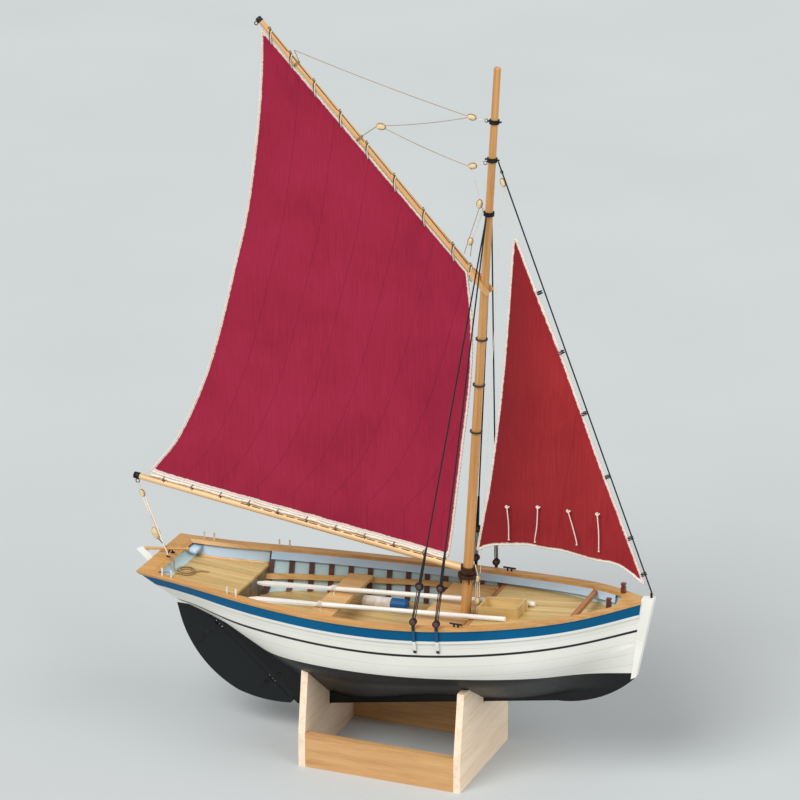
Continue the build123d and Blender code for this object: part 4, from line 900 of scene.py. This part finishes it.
# Lashings round the oars: five turns and a loose end
lashing = {"oars": ((-50.5, 15, 120.6), (-48.5, -17, 120.6)), "turns": 5, "pitch": 0.75, "radius": 2.35,
           "cord": 0.36, "end": ((1, -2.3, -1), (1.2, -2.2, -4.5), (3.5, -2.2, -7.5))}
lashings = []
for x, y, z in lashing["oars"]:
    for k in range(lashing["turns"]):
        middle = at(x + lashing["pitch"] * k - 2 * lashing["pitch"], z, y)
        lashings.append(hoop(middle, (1, 0, 0.03), lashing["radius"], lashing["cord"], 24))
    end = smooth([at(x + ahead, z + up, y + aside) for ahead, up, aside in lashing["end"]])
    lashings.append(rope(end, lashing["cord"]))
piece("oar_lashings", lashings, cords["cream"], "hull")


# A plate of even thickness: its outline at two heights, outline given in plan
def plate(outline, low, high):
    outline = np.asarray(outline, float)
    return {"points": np.stack([np.column_stack([outline, np.full(len(outline), z)]) for z in (low, high)]) * mm}


# The mainsheet's tail: over the transom's cap, down to the sloping aft deck, three loose turns whose
# width and height change along them, and a knot. The deck is given by x, height and slope
coil = {
    "middle": (-166.6, -2.2), "turns": 3.2, "from": 245, "radius": 0.75, "deck": (-155.1, 122, 0.0652),
    "wide": ((0, 0.85, 1.15, 1.9, 2.2, 3.3), (6.7, 6.7, 5.1, 5.1, 5.9, 6.2)),
    "rise": ((0, 1.9, 2.2, 3.3), (0.8, 0.8, 2.1, 2.1)),
    "lead": [(-180.5, -5.6, 135.9), (-177.8, -5.9, 136.3), (-175.7, -6.2, 134.2), (-175.2, -6.5, 130),
             (-174.6, -7.6, 126.8), (-173, -8.6, 125), (-171, -9, 124)],
    "end": [(-157.6, 2.2, 123.6), (-155.6, 4.2, 122.95), (-152.5, 5.3, 122.6)],
}
laps = np.arange(int(14 * coil["turns"])) / 14
angle = radians(coil["from"]) + 2 * pi * laps
wide = np.interp(laps, *coil["wide"])
middleX, middleY = coil["middle"]
deckX, deckZ, slope = coil["deck"]
level = deckZ + slope * (deckX - middleX - wide * np.cos(angle)) + np.interp(laps, *coil["rise"])
loops = np.stack([middleX + wide * np.cos(angle), middleY + wide * np.sin(angle), level], 1)
route = np.vstack([coil["lead"], loops, coil["end"]]) * mm
curve = bpy.data.curves.new("mainsheet_route", "CURVE")
curve.dimensions = "3D"
spline = curve.splines.new("NURBS")
spline.points.add(len(route) - 1)
spline.points.foreach_set("co", np.column_stack([route, np.ones(len(route))]).ravel())
spline.order_u = 3
spline.use_endpoint_u = True
spline.resolution_u = 8
routeObject = bpy.data.objects.new("mainsheet_route", curve)
routeMesh = bpy.data.meshes.new_from_object(routeObject)
path = cornersOf(routeMesh)
bpy.data.objects.remove(routeObject)
tail = piece("mainsheet_tail", [rope(path, coil["radius"])], cords["tan"], "hull")
knot = piece("mainsheet_knot", [lump(path[-1], np.eye(3), (1.3, 1, 0.9), 0.9)], cords["tan"], "hull")


# Pale blue knees in the stern's corners, a hollow curve between the transom and the side, and a
# stained chock beside the horse
knee = {"heights": (127.4, 130.4), "corner": (-184.4, 34), "side": (-170, 37), "from": (-170, 22.5),
        "hollow": (13.5, 11.5)}
bend = np.linspace(0, pi / 2, 12)
hollow = np.stack([knee["from"][0] - knee["hollow"][0] * np.sin(bend),
                   knee["from"][1] + knee["hollow"][1] * (1 - np.cos(bend))], 1)
outline = np.vstack([knee["corner"], knee["side"], hollow])
knees = [plate(outline * (1, side), *knee["heights"]) for side in (1, -1)]
piece("stern_knees", knees, paints["pale"], "hull")
chock = {"place": (-181.4, 130.6, 20.5), "halves": (2.2, 4, 1.6), "power": 0.4}
piece("stern_chock", [lump(at(*chock["place"]), np.eye(3), chock["halves"], chock["power"])], woods["frames"], "hull")

# A bent batten along each edge of the aft deck, where it meets the planking. Its line is a smooth
# curve through the deck's own outermost corners
batten = {"from": -0.1722, "to": -0.1180, "stops": 14, "slice": 0.0030, "inside": 0.0011, "above": 0.0002,
          "radius": 1.15}
corners = np.unique(cornersOf(nodes["aft_deck"].data).round(5), axis=0)
stops = np.linspace(batten["from"], batten["to"], batten["stops"])
battens = []
for side in (1, -1):
    slices = [corners[(np.abs(corners[:, 0] - x) < batten["slice"]) & (corners[:, 1] * side > 0)] for x in stops]
    y = [side * (np.abs(cut[:, 1]).max() - batten["inside"]) for cut in slices]
    z = [cut[:, 2].max() + batten["above"] for cut in slices]
    y, z = (np.polyval(np.polyfit(stops, values, power), stops) for values, power in ((y, 3), (z, 2)))
    battens.append(bar(np.stack([stops, y, z], 1), batten["radius"], 12))
piece("deck_battens", battens, woods["boom"], "hull")
print("stern")

# Light: two broad suns and a pale sky, over a plain pale floor
studio = {"sky": "#E8EAEC", "strength": 0.55, "floor": ("#BFC3C3", "#C3C7C7"), "half": 8}
lamps = {
    "key": {"from": (-0.35, -1.0, 1.15), "power": 2.2, "spread": 35},
    "bow": {"from": (1.0, -0.25, 0.75), "power": 1.3, "spread": 50},
}
for name, lamp in lamps.items():
    light = bpy.data.lights.new(name, "SUN")
    light.energy = lamp["power"]
    light.angle = radians(lamp["spread"])
    sun = newObject(name, light)
    sun.rotation_euler = Vector(lamp["from"]).to_track_quat("Z", "Y").to_euler()
sky = bpy.data.worlds.new("sky")
sky.use_nodes = True
skyInputs = sky.node_tree.nodes["Background"].inputs
skyInputs["Color"].default_value = linear(studio["sky"])
skyInputs["Strength"].default_value = studio["strength"]
bpy.context.scene.world = sky
bpy.context.scene.view_settings.view_transform = "Standard"


# Matt painted floor with the faintest drift of tone
def floorFinish(add, place):
    tone = add("TexNoise", {"Vector": place, "Scale": 3.0, "Detail": 2.0})
    colour = add("ValToRGB", (tone,), stops=zip((0.3, 0.7), studio["floor"]))
    return {"Base Color": colour, "Roughness": 0.8}


floorMesh = bpy.data.meshes.new("floor")
half = studio["half"]
floorMesh.from_pydata([(-half, -half, 0), (half, -half, 0), (half, half, 0), (-half, half, 0)], [], [(0, 1, 2, 3)])
floorMesh.materials.append(material("matt_floor", floorFinish))
newObject("floor", floorMesh)
print("stage")
